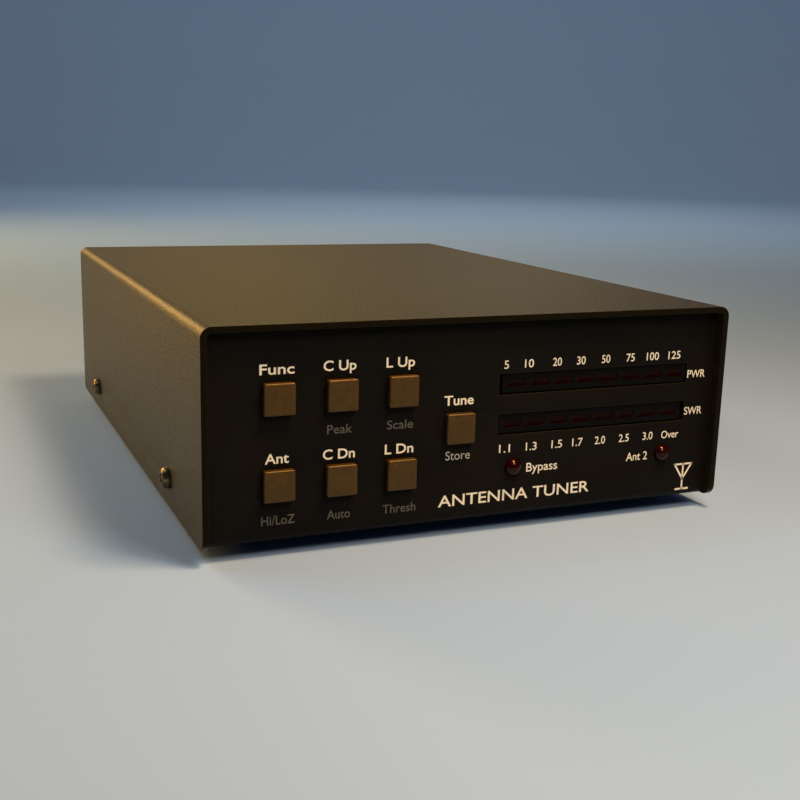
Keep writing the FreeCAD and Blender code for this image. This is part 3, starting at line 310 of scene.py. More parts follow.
def lens_red(name, color, specular):
    """Tinted epoxy, dark until it is lit, with faint flow lines."""
    made = Finish(name, color, 0.05, specular=specular)
    made.set("Specular Tint", (1.0, 0.7, 0.5, 1))
    made.paint(made.noise(0.0012), shade(color, 0.55), 0.8)
    made.polish(made.noise(0.0009, 0.3, 0.7), 0.14)
    made.bump(made.noise(0.0011, 0.2, 0.8), 0.00001, 0.3)
    return made.done()


def rubber():
    """Matt black rubber with dust in its grain."""
    made = Finish("foot_rubber", (0.022, 0.021, 0.02), 0.78, specular=0.3)
    made.paint(made.noise(0.0008, 0.45, 0.75), (0.06, 0.057, 0.052), 0.5)
    made.paint(made.edges(0.0004), (0.07, 0.067, 0.06), 0.5)
    made.bump(made.noise(0.0005, 0.2, 0.8), 0.00006, 0.6)
    return made.done()


def solder_mask():
    """A green circuit board with raised copper tracks under the mask."""
    made = Finish("circuit_board", (0.02, 0.115, 0.045), 0.32)
    tracks = made.node("ShaderNodeTexBrick")
    tracks.inputs["Scale"].default_value = 90
    tracks.inputs["Mortar Size"].default_value = 0.06
    for between in ("Color1", "Color2"):
        tracks.inputs[between].default_value = (0, 0, 0, 1)
    tracks.inputs["Mortar"].default_value = (1, 1, 1, 1)
    made.link(made.place, tracks.inputs["Vector"])
    made.paint(tracks.outputs["Color"], (0.035, 0.2, 0.07), 0.9)
    made.paint(made.noise(0.02, detail=3), (0.012, 0.08, 0.032), 0.6)
    made.bump(tracks.outputs["Color"], 0.00004, 0.6)
    made.bump(made.noise(0.0006, 0.2, 0.8), 0.00001, 0.4)
    return made.done()


def ceramic(name, color):
    """A ring core's coating: grainy, chipped along its edges."""
    made = Finish(name, color, 0.55)
    made.paint(made.noise(0.0009, 0.45, 0.75, detail=4), shade(color, 0.6), 0.7)
    made.paint(made.edges(0.0005), (0.11, 0.105, 0.1), 0.6)
    made.bump(made.noise(0.0005, 0.2, 0.8, detail=4), 0.00008, 0.6)
    return made.done()


def enamel():
    """Enamelled copper wire."""
    made = Finish("enamelled_wire", (0.62, 0.24, 0.08), 0.28, metallic=0.85)
    made.set("Coat Weight", 0.6)
    made.set("Coat Roughness", 0.12)
    made.paint(made.noise(0.003, detail=3), (0.42, 0.15, 0.05), 0.7)
    made.polish(made.noise(0.0015, 0.3, 0.7), 0.4)
    made.bump(made.noise(0.0008, 0.2, 0.8), 0.00002, 0.3)
    return made.done()


def ink(name, color):
    """Screen-printed ink, thin enough for pinholes and an uneven edge."""
    made = Finish(name, color, 0.6, specular=0.3)
    made.paint(made.noise(0.0003, 0.6, 0.8, detail=3), shade(color, 0.55), 0.6)
    made.paint(made.noise(0.004), shade(color, 0.88), 0.6)
    made.bump(made.noise(0.0002, 0.2, 0.8), 0.00001, 0.4)
    return made.done()


FINISHES = {
    "cover_paint": cover_paint(),
    "panel_paint": panel_paint(),
    "screw_zinc": plated("screw_zinc", (0.24, 0.18, 0.09), 0.26, stain=(0.07, 0.05, 0.025)),
    "foot_rubber": rubber(),
    "circuit_board": solder_mask(),
    "standoff_nickel": plated("standoff_nickel", (0.66, 0.64, 0.6), 0.28),
    "display_housing": moulded("display_housing", (0.0026, 0.0021, 0.0016), 0.4, specular=0.08),
    "display_red": lens_red("display_red", (0.0085, 0.0007, 0.0006), 0.08),
    "lamp_red": lens_red("lamp_red", (0.02, 0.0005, 0.0007), 0.3),
    "key_grey": key_plastic(),
    "plunger_black": moulded("plunger_black", (0.02, 0.02, 0.02), 0.45),
    "switch_black": moulded("switch_black", (0.028, 0.028, 0.027), 0.5),
    "socket_nickel": plated("socket_nickel", (0.7, 0.67, 0.61), 0.16),
    "insulator_white": moulded("insulator_white", (0.72, 0.68, 0.6), 0.42, worn=1.1),
    "contact_silver": plated("contact_silver", (0.8, 0.72, 0.55), 0.2),
    "lead_copper": plated("lead_copper", (0.72, 0.5, 0.36), 0.3),
    "ground_steel": plated("ground_steel", (0.62, 0.59, 0.53), 0.24),
    "jack_black": moulded("jack_black", (0.018, 0.018, 0.018), 0.42),
    "core_red": ceramic("core_red", (0.4, 0.045, 0.03)),
    "core_grey": ceramic("core_grey", (0.1, 0.1, 0.1)),
    "enamelled_wire": enamel(),
    "relay_case": moulded("relay_case", (0.02, 0.06, 0.2), 0.3, worn=1.6),
    "mica_dip": moulded("mica_dip", (0.28, 0.11, 0.04), 0.25, grain=0.001, depth=0.00008),
    "chip_black": moulded("chip_black", (0.02, 0.02, 0.02), 0.55),
    "crystal_can": plated("crystal_can", (0.72, 0.71, 0.68), 0.26),
    "capacitor_sleeve": moulded("capacitor_sleeve", (0.012, 0.018, 0.045), 0.3),
    "lead_grey": moulded("lead_grey", (0.36, 0.36, 0.35), 0.45),
}
INKS = {
    "white_ink": ink("white_ink", (0.98, 0.9, 0.76)),
    "pale_ink": ink("pale_ink", (0.6, 0.55, 0.46)),
    "grey_ink": ink("grey_ink", (0.12, 0.11, 0.09)),
}


# Meshes

SAME_PLACE = 0.002 * MM  # points that are nearer than this are one point
FLAT = math.radians(0.6)  # facets that meet at less than this are one face
CORNER = math.radians(28)  # edges that turn more than this are rounded
SHARP = math.radians(38)  # edges that turn more than this are shaded as edges
TURNED_POINT = 0.05 * MM  # the smallest ring, which closes a turned piece at its axis


def in_scene(name, data):
    """A new object in the scene, for a mesh or anything else."""
    holder = bpy.data.objects.new(name, data)
    bpy.context.scene.collection.objects.link(holder)
    return holder


def new_piece(name, mesh, slot, body="case"):
    """An object with a mesh, a finish and the body it rides on. An ink isn't one of the frame's slots."""
    mesh.polygons.foreach_set("use_smooth", [True] * len(mesh.polygons))
    mesh.set_sharp_from_angle(angle=SHARP)
    piece = in_scene(name, mesh)
    mesh.materials.clear()
    mesh.materials.append(FINISHES.get(slot) or INKS[slot])
    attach(piece, body)
    return piece


def to_mesh(name, shape):
    """Turn a bmesh into a mesh with its faces pointing outwards."""
    bmesh.ops.recalc_face_normals(shape, faces=shape.faces)
    mesh = bpy.data.meshes.new(name)
    shape.to_mesh(mesh)
    shape.free()
    return mesh


def loft(shape, rings, ends="filled"):
    """A skin through rings of points. Its two ends are filled, open, or joined to each other."""
    rows = [[shape.verts.new(point) for point in ring] for ring in rings]
    count = len(rows[0])
    following = rows[1:] + rows[:1] if ends == "joined" else rows[1:]
    for near, far in zip(rows, following):
        for index in range(count):
            after = (index + 1) % count
            shape.faces.new((near[index], near[after], far[after], far[index]))
    if ends == "filled":
        shape.faces.new(rows[0])
        shape.faces.new(rows[-1])


def rounded_ring(width, height, corner, y, x=0.0, z=0.0, steps=6):
    """A rectangle with rounded corners, in a plane across Y."""
    points = []
    for turn, (side_x, side_z) in enumerate(((1, 1), (-1, 1), (-1, -1), (1, -1))):
        for step in range(steps + 1):
            angle = math.pi / 2 * (turn + step / steps)
            points.append(Vector((
                x + side_x * (width / 2 - corner) + corner * math.cos(angle),
                y,
                z + side_z * (height / 2 - corner) + corner * math.sin(angle),
            )))
    return points


def circle_ring(radius, y, x=0.0, z=0.0, count=48):
    """A circle in a plane across Y."""
    return [Vector((x + radius * math.sin(math.tau * index / count), y,
                    z + radius * math.cos(math.tau * index / count))) for index in range(count)]


def lathe(shape, outline, x, z, count=48):
    """A closed solid of revolution about an axis along Y, from (radius, y) points."""
    loft(shape, [circle_ring(radius, y, x, z, count) for radius, y in outline])


def arc(centre, radius, start, end, steps):
    """Points round a circle between two angles in degrees."""
    points = []
    for step in range(steps + 1):
        angle = math.radians(start + (end - start) * step / steps)
        points.append((centre[0] + radius * math.cos(angle), centre[1] + radius * math.sin(angle)))
    return points


def thread_rings(crest, depth, pitch, start, end, x, z, count=48, a_pitch=6):
    """Rings of a right-handed screw thread about an axis along Y that runs out at both ends.
    A pitch is cut into a_pitch rings."""
    rings = []
    total = round((end - start) / pitch * a_pitch)
    for row in range(total + 1):
        along = (end - start) * row / total
        fade = min(1.0, along / pitch, (end - start - along) / pitch)
        ring = []
        for index in range(count):
            phase = (along / pitch - index / count) % 1.0
            angle = math.tau * index / count
            radius = crest - depth * fade * min(1.0, 1.25 * abs(2 * phase - 1))
            ring.append(Vector((x + radius * math.sin(angle), start + along, z + radius * math.cos(angle))))
        rings.append(ring)
    return rings


def settle(piece):
    """Apply a piece's modifiers to its mesh."""
    graph = bpy.context.evaluated_depsgraph_get()
    mesh = bpy.data.meshes.new_from_object(piece.evaluated_get(graph))
    piece.modifiers.clear()
    piece.data = mesh


def combine(piece, tool_mesh, operation):
    """Join a closed mesh to a piece (UNION) or take it away (DIFFERENCE)."""
    tool = in_scene("tool", tool_mesh)
    change = piece.modifiers.new("combine", "BOOLEAN")
    change.operation = operation
    change.solver = "EXACT"
    change.object = tool
    settle(piece)
    bpy.data.objects.remove(tool)


def cad_shape(node):
    """A CAD node's mesh with its loose facets joined."""
    shape = bmesh.new()
    shape.from_mesh(NODES[node].data)
    bmesh.ops.remove_doubles(shape, verts=shape.verts, dist=SAME_PLACE)
    return shape


def refined(node, bevel, steps=2, name=None):
    """A CAD node's shape rebuilt with clean flat faces and small rounded edges, standing for that node."""
    shape = cad_shape(node)
    bmesh.ops.dissolve_limit(shape, angle_limit=FLAT, verts=shape.verts, edges=shape.edges)
    corners = [edge for edge in shape.edges if len(edge.link_faces) == 2
               and edge.calc_face_angle(0) > CORNER]
    bmesh.ops.bevel(shape, geom=corners, offset=bevel, segments=steps, profile=0.6,
                    affect="EDGES", clamp_overlap=True)
    piece = new_piece(name or node + "_body", to_mesh(node, shape), SLOT_OF[node], NODES[node]["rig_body"])
    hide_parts(node)


# The case

def case_shells():
    """Cover and pan with the soft edges that paint leaves on cut sheet."""
    refined("cover", 0.3 * MM, 3, name="cover_sheet")
    refined("base_pan", 0.2 * MM, 2, name="pan_sheet")


SCREW_CREST = 1.45 * MM
SCREW_PITCH = 0.5 * MM
SCREW_THREAD = 0.25 * MM


def cross_recess(across, depth, wing):
    """The tapered tool for a cross recess in a face at y = 0, cutting towards +Y from a little outside it."""
    shape = bmesh.new()
    outside = -0.6 * MM
    rings = []
    for y, reach, half in ((outside, across * 1.12, wing * 1.1), (depth, across * 0.45, wing * 0.62)):
        outline = []
        for turn in range(4):
            for u, v in ((half, half), (half, reach), (-half, reach)):
                angle = turn * math.pi / 2
                outline.append(Vector((u * math.cos(angle) - v * math.sin(angle), y,
                                       u * math.sin(angle) + v * math.cos(angle))))
        rings.append(outline)
    loft(shape, rings)
    return to_mesh("cross", shape)


def screw_mesh(head, height, length):
    """A pan-head screw with a cross recess: its head faces -Y and its tip points to +Y."""
    count = 40
    crown = ((0.35, 1.0), (0.6, 0.97), (0.78, 0.88), (0.91, 0.7), (0.985, 0.45), (1.0, 0.2), (0.985, 0.0))
    rings = [circle_ring(TURNED_POINT, -height, count=count)]
    rings += [circle_ring(across * head, -rise * height, count=count) for across, rise in crown]
    thread_start = 0.3 * MM
    thread_end = length - 0.4 * MM
    rings.append(circle_ring(SCREW_CREST, 0.0, count=count))
    rings += thread_rings(SCREW_CREST, SCREW_THREAD, SCREW_PITCH, thread_start, thread_end, 0, 0, count, 4)
    rings.append(circle_ring(SCREW_CREST * 0.7, length, count=count))
    shape = bmesh.new()
    loft(shape, rings)
    screw = in_scene("screw", to_mesh("screw", shape))
    recess = cross_recess(across=0.62 * head, depth=0.62 * height, wing=0.19 * head)
    recess.transform(Matrix.Translation((0, -height, 0)))
    combine(screw, recess, "DIFFERENCE")
    mesh = screw.data
    bpy.data.objects.remove(screw)
    return mesh


def stamped(name, mesh, places, node):
    """Copies of a mesh at several places, joined as one piece that stands for a node."""
    shape = bmesh.new()
    for place in places:
        start = len(shape.verts)
        shape.from_mesh(mesh)
        shape.verts.ensure_lookup_table()
        bmesh.ops.transform(shape, matrix=place, verts=shape.verts[start:])
    joined = bpy.data.meshes.new(name)
    shape.to_mesh(joined)
    shape.free()
    piece = new_piece(name, joined, SLOT_OF[node])
    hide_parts(node)


def islands(node):
    """The boxes of the separate solids of a node, as (lowest corner, highest corner)."""
    shape = cad_shape(node)
    seen = set()
    boxes = []
    for first in shape.verts:
        if first in seen:
            continue
        group = [first]
        seen.add(first)
        for vert in group:
            for edge in vert.link_edges:
                other = edge.other_vert(vert)
                if other not in seen:
                    seen.add(other)
                    group.append(other)
        low = Vector([min(vert.co[axis] for vert in group) for axis in range(3)])
        high = Vector([max(vert.co[axis] for vert in group) for axis in range(3)])
        boxes.append((low, high))
    shape.free()
    return boxes


def side_screws():
    """The four screws in the side walls, each turned to where it was left."""
    boxes = islands("cover_screws")
    low, high = boxes[0]
    head_height = max(abs(low.x), abs(high.x)) - CASE_HIGH.x
    mesh = screw_mesh((high.z - low.z) / 2, head_height, high.x - low.x - head_height)
    places = []
    for index, (low, high) in enumerate(boxes):
        centre = (low + high) / 2
        side = 1 if centre.x > 0 else -1
        left_at = Matrix.Rotation(math.radians(20 + 67 * index), 4, "Y")
        facing = Matrix.Rotation(side * math.pi / 2, 4, "Z")
        at = Matrix.Translation((side * CASE_HIGH.x, centre.y, centre.z))
        places.append(at @ facing @ left_at)
    stamped("side_screws", mesh, places, "cover_screws")


def feet():
    """Four bumpers with a rolled lower edge and a shallow hollow underneath."""
    boxes = islands("rubber_feet")
    low, high = boxes[0]
    radius = (high.x - low.x) / 2
    top = high.z
    hollow = 0.35 * MM
    roll = 0.9 * MM
    tread = 0.72 * radius
    centre = 2 * TURNED_POINT
    outline = [(centre, hollow), (0.45 * radius, hollow), (0.58 * radius, 0.0), (tread, 0.0)]
    outline += arc((tread, roll), roll, -60, 0, 4)
    outline += [(0.97 * radius, 0.72 * top), (radius, 0.8 * top), (radius, top), (centre, top)]
    foot = bmesh.new()
    lathe(foot, outline, 0, 0, 64)
    mesh = to_mesh("foot", foot)
    mesh.transform(Matrix.Rotation(math.pi / 2, 4, "X"))
    places = [Matrix.Translation(((low.x + high.x) / 2, (low.y + high.y) / 2, 0)) for low, high in boxes]
    stamped("feet", mesh, places, "rubber_feet")


# The front panel

def key_cap(key):
    """A hollow cap with rounded edges and a faint crown, open behind round the plunger's socket."""
    node = key + "_button"
    low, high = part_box(node)
    at = middle(node)
    width = high.x - low.x
    edge = 0.45 * MM
    corner = 0.6 * MM
    crown = 0.09 * MM
    lead_in = 0.1 * MM
    inner = width - 2 * 1.1 * MM
    boss = 5.4 * MM
    bore = 3.8 * MM
    inner_face = low.y + 1.6 * MM
    bore_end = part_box(key + "_plunger")[0].y

    def square(side, rounding, y):
        return rounded_ring(side, side, rounding, y, at.x, at.z)

    rings = []
    for share in (0.08, 0.3, 0.55, 0.8, 0.94):
        side = (width - 2 * edge) * share
        rings.append(square(side, side * 0.12, low.y + crown * share ** 3))
    steps = 6
    for step in range(steps + 1):
        angle = math.pi / 2 * step / steps
        inset = edge * (1 - math.sin(angle))
        back = edge * (1 - math.cos(angle))
        rings.append(square(width - 2 * inset, corner - 0.9 * inset, low.y + crown + back))
    rings += [
        square(width, corner, high.y - lead_in),
        square(width - 2 * lead_in, corner, high.y),
        square(inner, 0.4 * MM, high.y),
        square(inner, 0.4 * MM, inner_face),
        square(boss, 0.3 * MM, inner_face),
        square(boss, 0.3 * MM, high.y),
        square(bore, 0.05 * MM, high.y),
        square(bore, 0.05 * MM, bore_end),
    ]
    shape = bmesh.new()
    loft(shape, rings)
    piece = new_piece(key + "_cap", to_mesh(node, shape), "key_grey", key + "_key")
    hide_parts(node)


def bar_display(name):
    """The segments of a bar: cast epoxy with a shrunken face, in a housing with soft edges."""
    refined(name + "_bar_housing", 0.12 * MM, 2, name=name + "_bar_block")
    shape = bmesh.new()
    edge = 0.1 * MM
    sink = 0.12 * MM
    corner = 0.15 * MM
    inner_corner = 0.04 * MM
    for low, high in islands(name + "_bar_segments"):
        at = (low + high) / 2
        width, height = high.x - low.x, high.z - low.z
        rings = []
        for share in (0.1, 0.5, 0.85):
            rings.append(rounded_ring(width - height * (1 - share), height * share, inner_corner,
                                      low.y + sink * (1 - share ** 2), at.x, at.z, 3))
        for inset, y in ((edge, low.y), (edge * 0.3, low.y + edge * 0.3), (0, low.y + edge), (0, high.y)):
            rings.append(rounded_ring(width - 2 * inset, height - 2 * inset, corner, y, at.x, at.z, 3))
        loft(shape, rings)
    piece = new_piece(name + "_bar_lights", to_mesh(name, shape), "display_red")
    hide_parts(name + "_bar_segments")


def lamp(name):
    """A 5 mm lamp: a tinted lens with its rim, and two legs."""
    low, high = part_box(name)
    at = middle(name)
    radius = 2.5 * MM
    rim = (high.x - low.x) / 2
    rim_front = PANEL_FACE + 4.8 * MM
    rim_rear = rim_front + 1.0 * MM
    soft = 0.1 * MM
    dome = [math.radians(angle) for angle in (1, 8, 16, 24, 32, 40, 48, 56, 64, 72, 80, 90)]
    outline = [(radius * math.sin(angle), low.y + radius * (1 - math.cos(angle))) for angle in dome]
    outline += [(radius, rim_front), (rim - soft, rim_front), (rim, rim_front + soft)]
    outline += [(rim, rim_rear - soft), (rim - soft, rim_rear), (TURNED_POINT, rim_rear)]
    shape = bmesh.new()
    lathe(shape, outline, at.x, at.z, 64)
    lens = new_piece(name + "_lens", to_mesh(name, shape), "lamp_red")
    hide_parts(name)
    leg = 0.5 * MM
    leg_corner = 0.06 * MM
    leg_place = 1.27 * MM
    shape = bmesh.new()
    for side in (-1, 1):
        loft(shape, [rounded_ring(leg, leg, leg_corner, y, at.x + side * leg_place, at.z, 2)
                     for y in (rim_rear, high.y)])
    legs = new_piece(name + "_legs", to_mesh(name + "_legs", shape), "contact_silver")
    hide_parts(name)


def letters(text):
    """The flat shape of some words in a type one unit high, standing on the X axis."""
    curve = bpy.data.curves.new("letters", "FONT")
    curve.body = text
    curve.size = 1.0
    curve.resolution_u = 4
    holder = in_scene("letters", curve)
    bpy.context.view_layer.update()
    mesh = bpy.data.meshes.new_from_object(holder.evaluated_get(bpy.context.evaluated_depsgraph_get()))
    bpy.data.objects.remove(holder)
    bpy.data.curves.remove(curve)
    return mesh


def span(mesh, axis):
    """The lowest and highest place of a mesh along an axis."""
    values = [vert.co[axis] for vert in mesh.vertices]
    return min(values), max(values)


CAPITAL = span(letters("H"), 1)[1]  # how high a capital is in that type
INK_THICKNESS = 0.03 * MM
INK_BACK = PANEL_FACE + 0.005 * MM  # the ink is sunk a little into the paint


def label(name, text, x, rise, height, width, ink_name, bold):
    """Words printed on the front panel: their middle, the height of their baseline over the wall's
    bottom edge, the height of a capital, the whole width, and how far their outline is pushed out."""
    mesh = letters(text)
    left, right = span(mesh, 0)
    scale_z = height / CAPITAL
    scale_x = (width - 2 * bold) / (right - left)
    one_point = 1e-5
    shape = bmesh.new()
    shape.from_mesh(mesh)
    bmesh.ops.remove_doubles(shape, verts=shape.verts, dist=one_point)
    for vert in shape.verts:
        u = (vert.co.x - (left + right) / 2) * scale_x
        vert.co = Vector((x + u, INK_BACK, WALL_BOTTOM + rise + vert.co.y * scale_z))
    if bold:
        thicken(shape, bold)
    faces = bmesh.ops.extrude_face_region(shape, geom=list(shape.faces))
    for item in faces["geom"]:
        if isinstance(item, bmesh.types.BMVert):
            item.co.y -= INK_THICKNESS
    new_piece(name, to_mesh(name, shape), ink_name)


def thicken(shape, by):
    """Push the outline of flat letters outwards, with its corners kept from growing into spikes."""
    longest = 1.6
    least = 0.2
    shape.normal_update()
    moves = {}
    for vert in shape.verts:
        rims = [edge for edge in vert.link_edges if len(edge.link_faces) == 1]
        push = Vector((0, 0, 0))
        for edge in rims:
            face = edge.link_faces[0]
            along = (edge.verts[1].co - edge.verts[0].co).normalized()
            out = along.cross(face.normal)
            if out.dot((edge.verts[0].co + edge.verts[1].co) / 2 - face.calc_center_median()) < 0:
                out = -out
            push += out
        if len(rims) == 2 and push.length > least:
            moves[vert] = push.normalized() * by * min(longest, 2 / push.length)
    for vert, move in moves.items():
        vert.co += move


def panel_words():
    """The words on the front panel: name, text, middle, baseline, height and width in millimetres, ink."""
    bold = ("white_ink", 0.065)
    title = ("white_ink", 0.05)
    small = ("white_ink", 0.02)
    grey = ("grey_ink", 0.02)
    thin = ("pale_ink", 0.0)
    rows = (
        ("word_func", "Func", -55.7, 42.6, 2.45, 8.8, bold),
        ("word_c_up", "C Up", -39.6, 42.7, 2.45, 8.6, bold),
        ("word_l_up", "L Up", -23.4, 42.7, 2.45, 7.8, bold),
        ("word_tune", "Tune", -6.75, 31.8, 2.45, 8.4, bold),
        ("word_ant", "Ant", -55.7, 20.3, 2.45, 6.1, bold),
        ("word_c_down", "C Dn", -39.6, 20.2, 2.45, 8.5, bold),
        ("word_l_down", "L Dn", -23.3, 20.2, 2.45, 7.9, bold),
        ("word_peak", "Peak", -39.5, 26.7, 2.25, 6.6, grey),
        ("word_scale", "Scale", -23.2, 26.7, 2.25, 7.2, grey),
        ("word_hi_lo", "Hi/LoZ", -55.4, 4.6, 2.3, 8.6, grey),
        ("word_auto", "Auto", -39.5, 4.5, 2.3, 6.2, grey),
        ("word_thresh", "Thresh", -22.9, 4.4, 2.3, 9.2, grey),
        ("word_store", "Store", -6.6, 17.1, 2.35, 7.1, thin),
        ("word_bypass", "Bypass", 18.9, 11.9, 2.4, 9.6, small),
        ("word_second", "Ant 2", 49.4, 12.1, 2.35, 7.0, small),
        ("word_over", "Over", 60.1, 17.8, 2.1, 5.8, small),
        ("word_power", "PWR", 67.5, 34.9, 2.15, 6.0, small),
        ("word_swr", "SWR", 67.4, 24.2, 2.15, 6.0, small),
        ("word_kind", "ANTENNA TUNER", 11.2, 4.5, 3.0, 46.0, title),
    )
    for name, text, x, rise, height, width, (ink_name, heavy) in rows:
        label(name, text, x * MM, rise * MM, height * MM, width * MM, ink_name, heavy * MM)


def scale_numbers():
    """The numbers over the power bar and under the SWR bar."""
    digit = 1.34
    point = 0.62
    height = 2.15
    bold = 0.02
    scales = (
        ("power", 40.6, (("5", 6.7), ("10", 13.5), ("20", 22.0), ("30", 29.4), ("50", 37.2),
                         ("75", 45.1), ("100", 52.4), ("125", 59.6))),
        ("swr", 17.85, (("1.1", 7.2), ("1.3", 15.3), ("1.5", 23.2), ("1.7", 29.7), ("2.0", 36.9),
                        ("2.5", 44.7), ("3.0", 52.6))),
    )
    for scale, rise, numbers in scales:
        for text, x in numbers:
            width = sum(point if sign == "." else digit for sign in text)
            name = f"{scale}_{text.replace('.', '_')}"
            label(name, text, x * MM, rise * MM, height * MM, width * MM, "white_ink", bold * MM)


def stroke(shape, start, end, width):
    """A flat line of some width between two points of the front panel, with square ends."""
    a, b = Vector(start), Vector(end)
    along = (b - a).normalized()
    side = Vector((-along.y, along.x)) * width / 2
    a, b = a - along * width / 2, b + along * width / 2
    near = [Vector((p.x, INK_BACK, p.y)) for p in (a + side, b + side, b - side, a - side)]
    far = [point - Vector((0, INK_THICKNESS, 0)) for point in near]
    loft(shape, [near, far])


def aerial_mark():
    """A plain drawing-office sign for an aerial, in the lower right corner."""
    x = 65.6 * MM
    low = WALL_BOTTOM + 2.2 * MM
    high = WALL_BOTTOM + 9.6 * MM
    width = 0.55 * MM
    half = 2.9 * MM
    foot = 0.7 * half
    joint = high - 4.4 * MM
    shape = bmesh.new()
    for start, end in (((x, low), (x, high)), ((x - half, high), (x + half, high)),
                       ((x - half, high), (x, joint)), ((x + half, high), (x, joint)),
                       ((x - foot, low), (x + foot, low))):
        stroke(shape, start, end, width)
    new_piece("aerial_mark", to_mesh("aerial_mark", shape), "white_ink")


# The rear panel

FLANGE_FACE = REAR_FACE + 2.0 * MM  # the outer face of the sockets' flanges


def coaxial_socket(name):
    """Flange with four screw holes, and a barrel with a cut thread and four notches in its rim."""
    node = name + "_socket"
    low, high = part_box(node)
    at = middle(node)
    bore = 6.2 * MM
    flange = socket_flange(name, high.x - low.x, bore, at)
    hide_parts(node)
    barrel = socket_barrel(name, low.y, high.y, bore, at)
    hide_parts(node)


def socket_flange(name, width, bore, at):
    """A square plate with soft edges, drilled for its screws and its barrel."""
    edge = 0.25 * MM
    corner = 2.5 * MM
    rings = [rounded_ring(side, side, rounding, y, at.x, at.z, 10) for side, rounding, y in (
        (width - 2 * edge, corner - 0.2 * MM, REAR_FACE),
        (width, corner, REAR_FACE + edge),
        (width, corner, FLANGE_FACE - edge),
        (width - edge, corner - 0.1 * MM, FLANGE_FACE - edge * 0.3),
        (width - 2 * edge, corner - 0.2 * MM, FLANGE_FACE),
    )]
    shape = bmesh.new()
    loft(shape, rings)
    piece = new_piece(name + "_shell", to_mesh(name + "_flange", shape), "socket_nickel")
    hole = 1.7 * MM
    from_middle = 18.26 * MM / 2
    holes = bmesh.new()
    for side in (-1, 1):
        for level in (-1, 1):
            lathe(holes, [(hole, REAR_FACE - MM), (hole, FLANGE_FACE + MM)],
                  at.x + side * from_middle, at.z + level * from_middle, 32)
    lathe(holes, [(bore, REAR_FACE - MM), (bore, FLANGE_FACE + MM)], at.x, at.z, 72)
    combine(piece, to_mesh("holes", holes), "DIFFERENCE")
    return piece


def socket_barrel(name, inner_end, outer_end, bore, at):
    """A tube with a plain end inside the case, a neck, a 24-to-the-inch thread and a notched rim."""
    count = 72
    spigot = 7.5 * MM
    neck = 7.2 * MM
    crest = 7.94 * MM
    depth = 0.6 * MM
    pitch = 25.4 / 24 * MM
    chamfer = 0.5 * MM
    soft = 0.2 * MM
    neck_start = REAR_FACE + 0.5 * MM
    thread_start = FLANGE_FACE + 1.5 * MM
    rings = [circle_ring(radius, y, at.x, at.z, count) for radius, y in (
        (bore, inner_end),
        (spigot, inner_end),
        (spigot, neck_start - 0.1 * MM),
        (neck, neck_start),
        (neck, thread_start),
        (crest - 0.15 * MM, thread_start + 0.1 * MM),
    )]
    rings += thread_rings(crest, depth, pitch, thread_start + soft, outer_end - chamfer, at.x, at.z, count)
    rings += [circle_ring(radius, y, at.x, at.z, count) for radius, y in (
        (crest - chamfer, outer_end),
        (bore + soft, outer_end),
        (bore, outer_end - soft),
    )]
    shape = bmesh.new()
    loft(shape, rings, ends="joined")
    tube = new_piece(name + "_barrel", to_mesh("barrel", shape), "socket_nickel")
    reach = 2 * (crest + MM)
    notch = 1.6 * MM
    notch_end = outer_end - 1.2 * MM
    for width, height in ((notch, reach), (reach, notch)):
        tool = bmesh.new()
        loft(tool, [rounded_ring(width, height, 0.02 * MM, y, at.x, at.z, 2)
                    for y in (notch_end, outer_end + MM)])
        combine(tube, to_mesh("notch", tool), "DIFFERENCE")
    return tube


def socket_screws():
    """The screws of the three flanges."""
    boxes = islands("socket_screws")
    low, high = boxes[0]
    mesh = screw_mesh((high.x - low.x) / 2, high.y - FLANGE_FACE, FLANGE_FACE - low.y)
    about = Matrix.Rotation(math.pi, 4, "Z")
    places = []
    for index, (low, high) in enumerate(boxes):
        left_at = Matrix.Rotation(math.radians(31 * index), 4, "Y")
        at = Matrix.Translation(((low.x + high.x) / 2, FLANGE_FACE, (low.z + high.z) / 2))
        places.append(at @ about @ left_at)
    stamped("flange_screws", mesh, places, "socket_screws")


def ground_terminal():
    """The stud: a round head, and a cut thread with a relief groove."""
    low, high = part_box("ground_stud")
    at = middle("ground_stud")
    inside = REAR_FACE - SHEET
    head = (high.x - low.x) / 2
    soft = 0.1 * MM
    shank = 2.0 * MM
    depth = 0.36 * MM
    pitch = 0.7 * MM
    groove = 1.6 * MM
    groove_start = high.y - 9.6 * MM
    groove_end = high.y - 9.0 * MM
    chamfer = 0.5 * MM
    rings = [circle_ring(radius, y, at.x, at.z) for radius, y in (
        (2 * TURNED_POINT, low.y),
        (head * 0.9, low.y),
        (head, low.y + 0.25 * MM),
        (head, inside - soft),
        (head - soft, inside),
        (shank - soft, inside),
    )]
    rings += thread_rings(shank, depth, pitch, inside + soft, groove_start, at.x, at.z)
    rings += [circle_ring(groove, y, at.x, at.z) for y in (groove_start, groove_end)]
    rings += thread_rings(shank, depth, pitch, groove_end, high.y - chamfer, at.x, at.z)
    rings.append(circle_ring(shank - chamfer, high.y, at.x, at.z))
    shape = bmesh.new()
    loft(shape, rings)
    piece = new_piece("threaded_stud", to_mesh("stud", shape), "ground_steel")
    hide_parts("ground_stud")


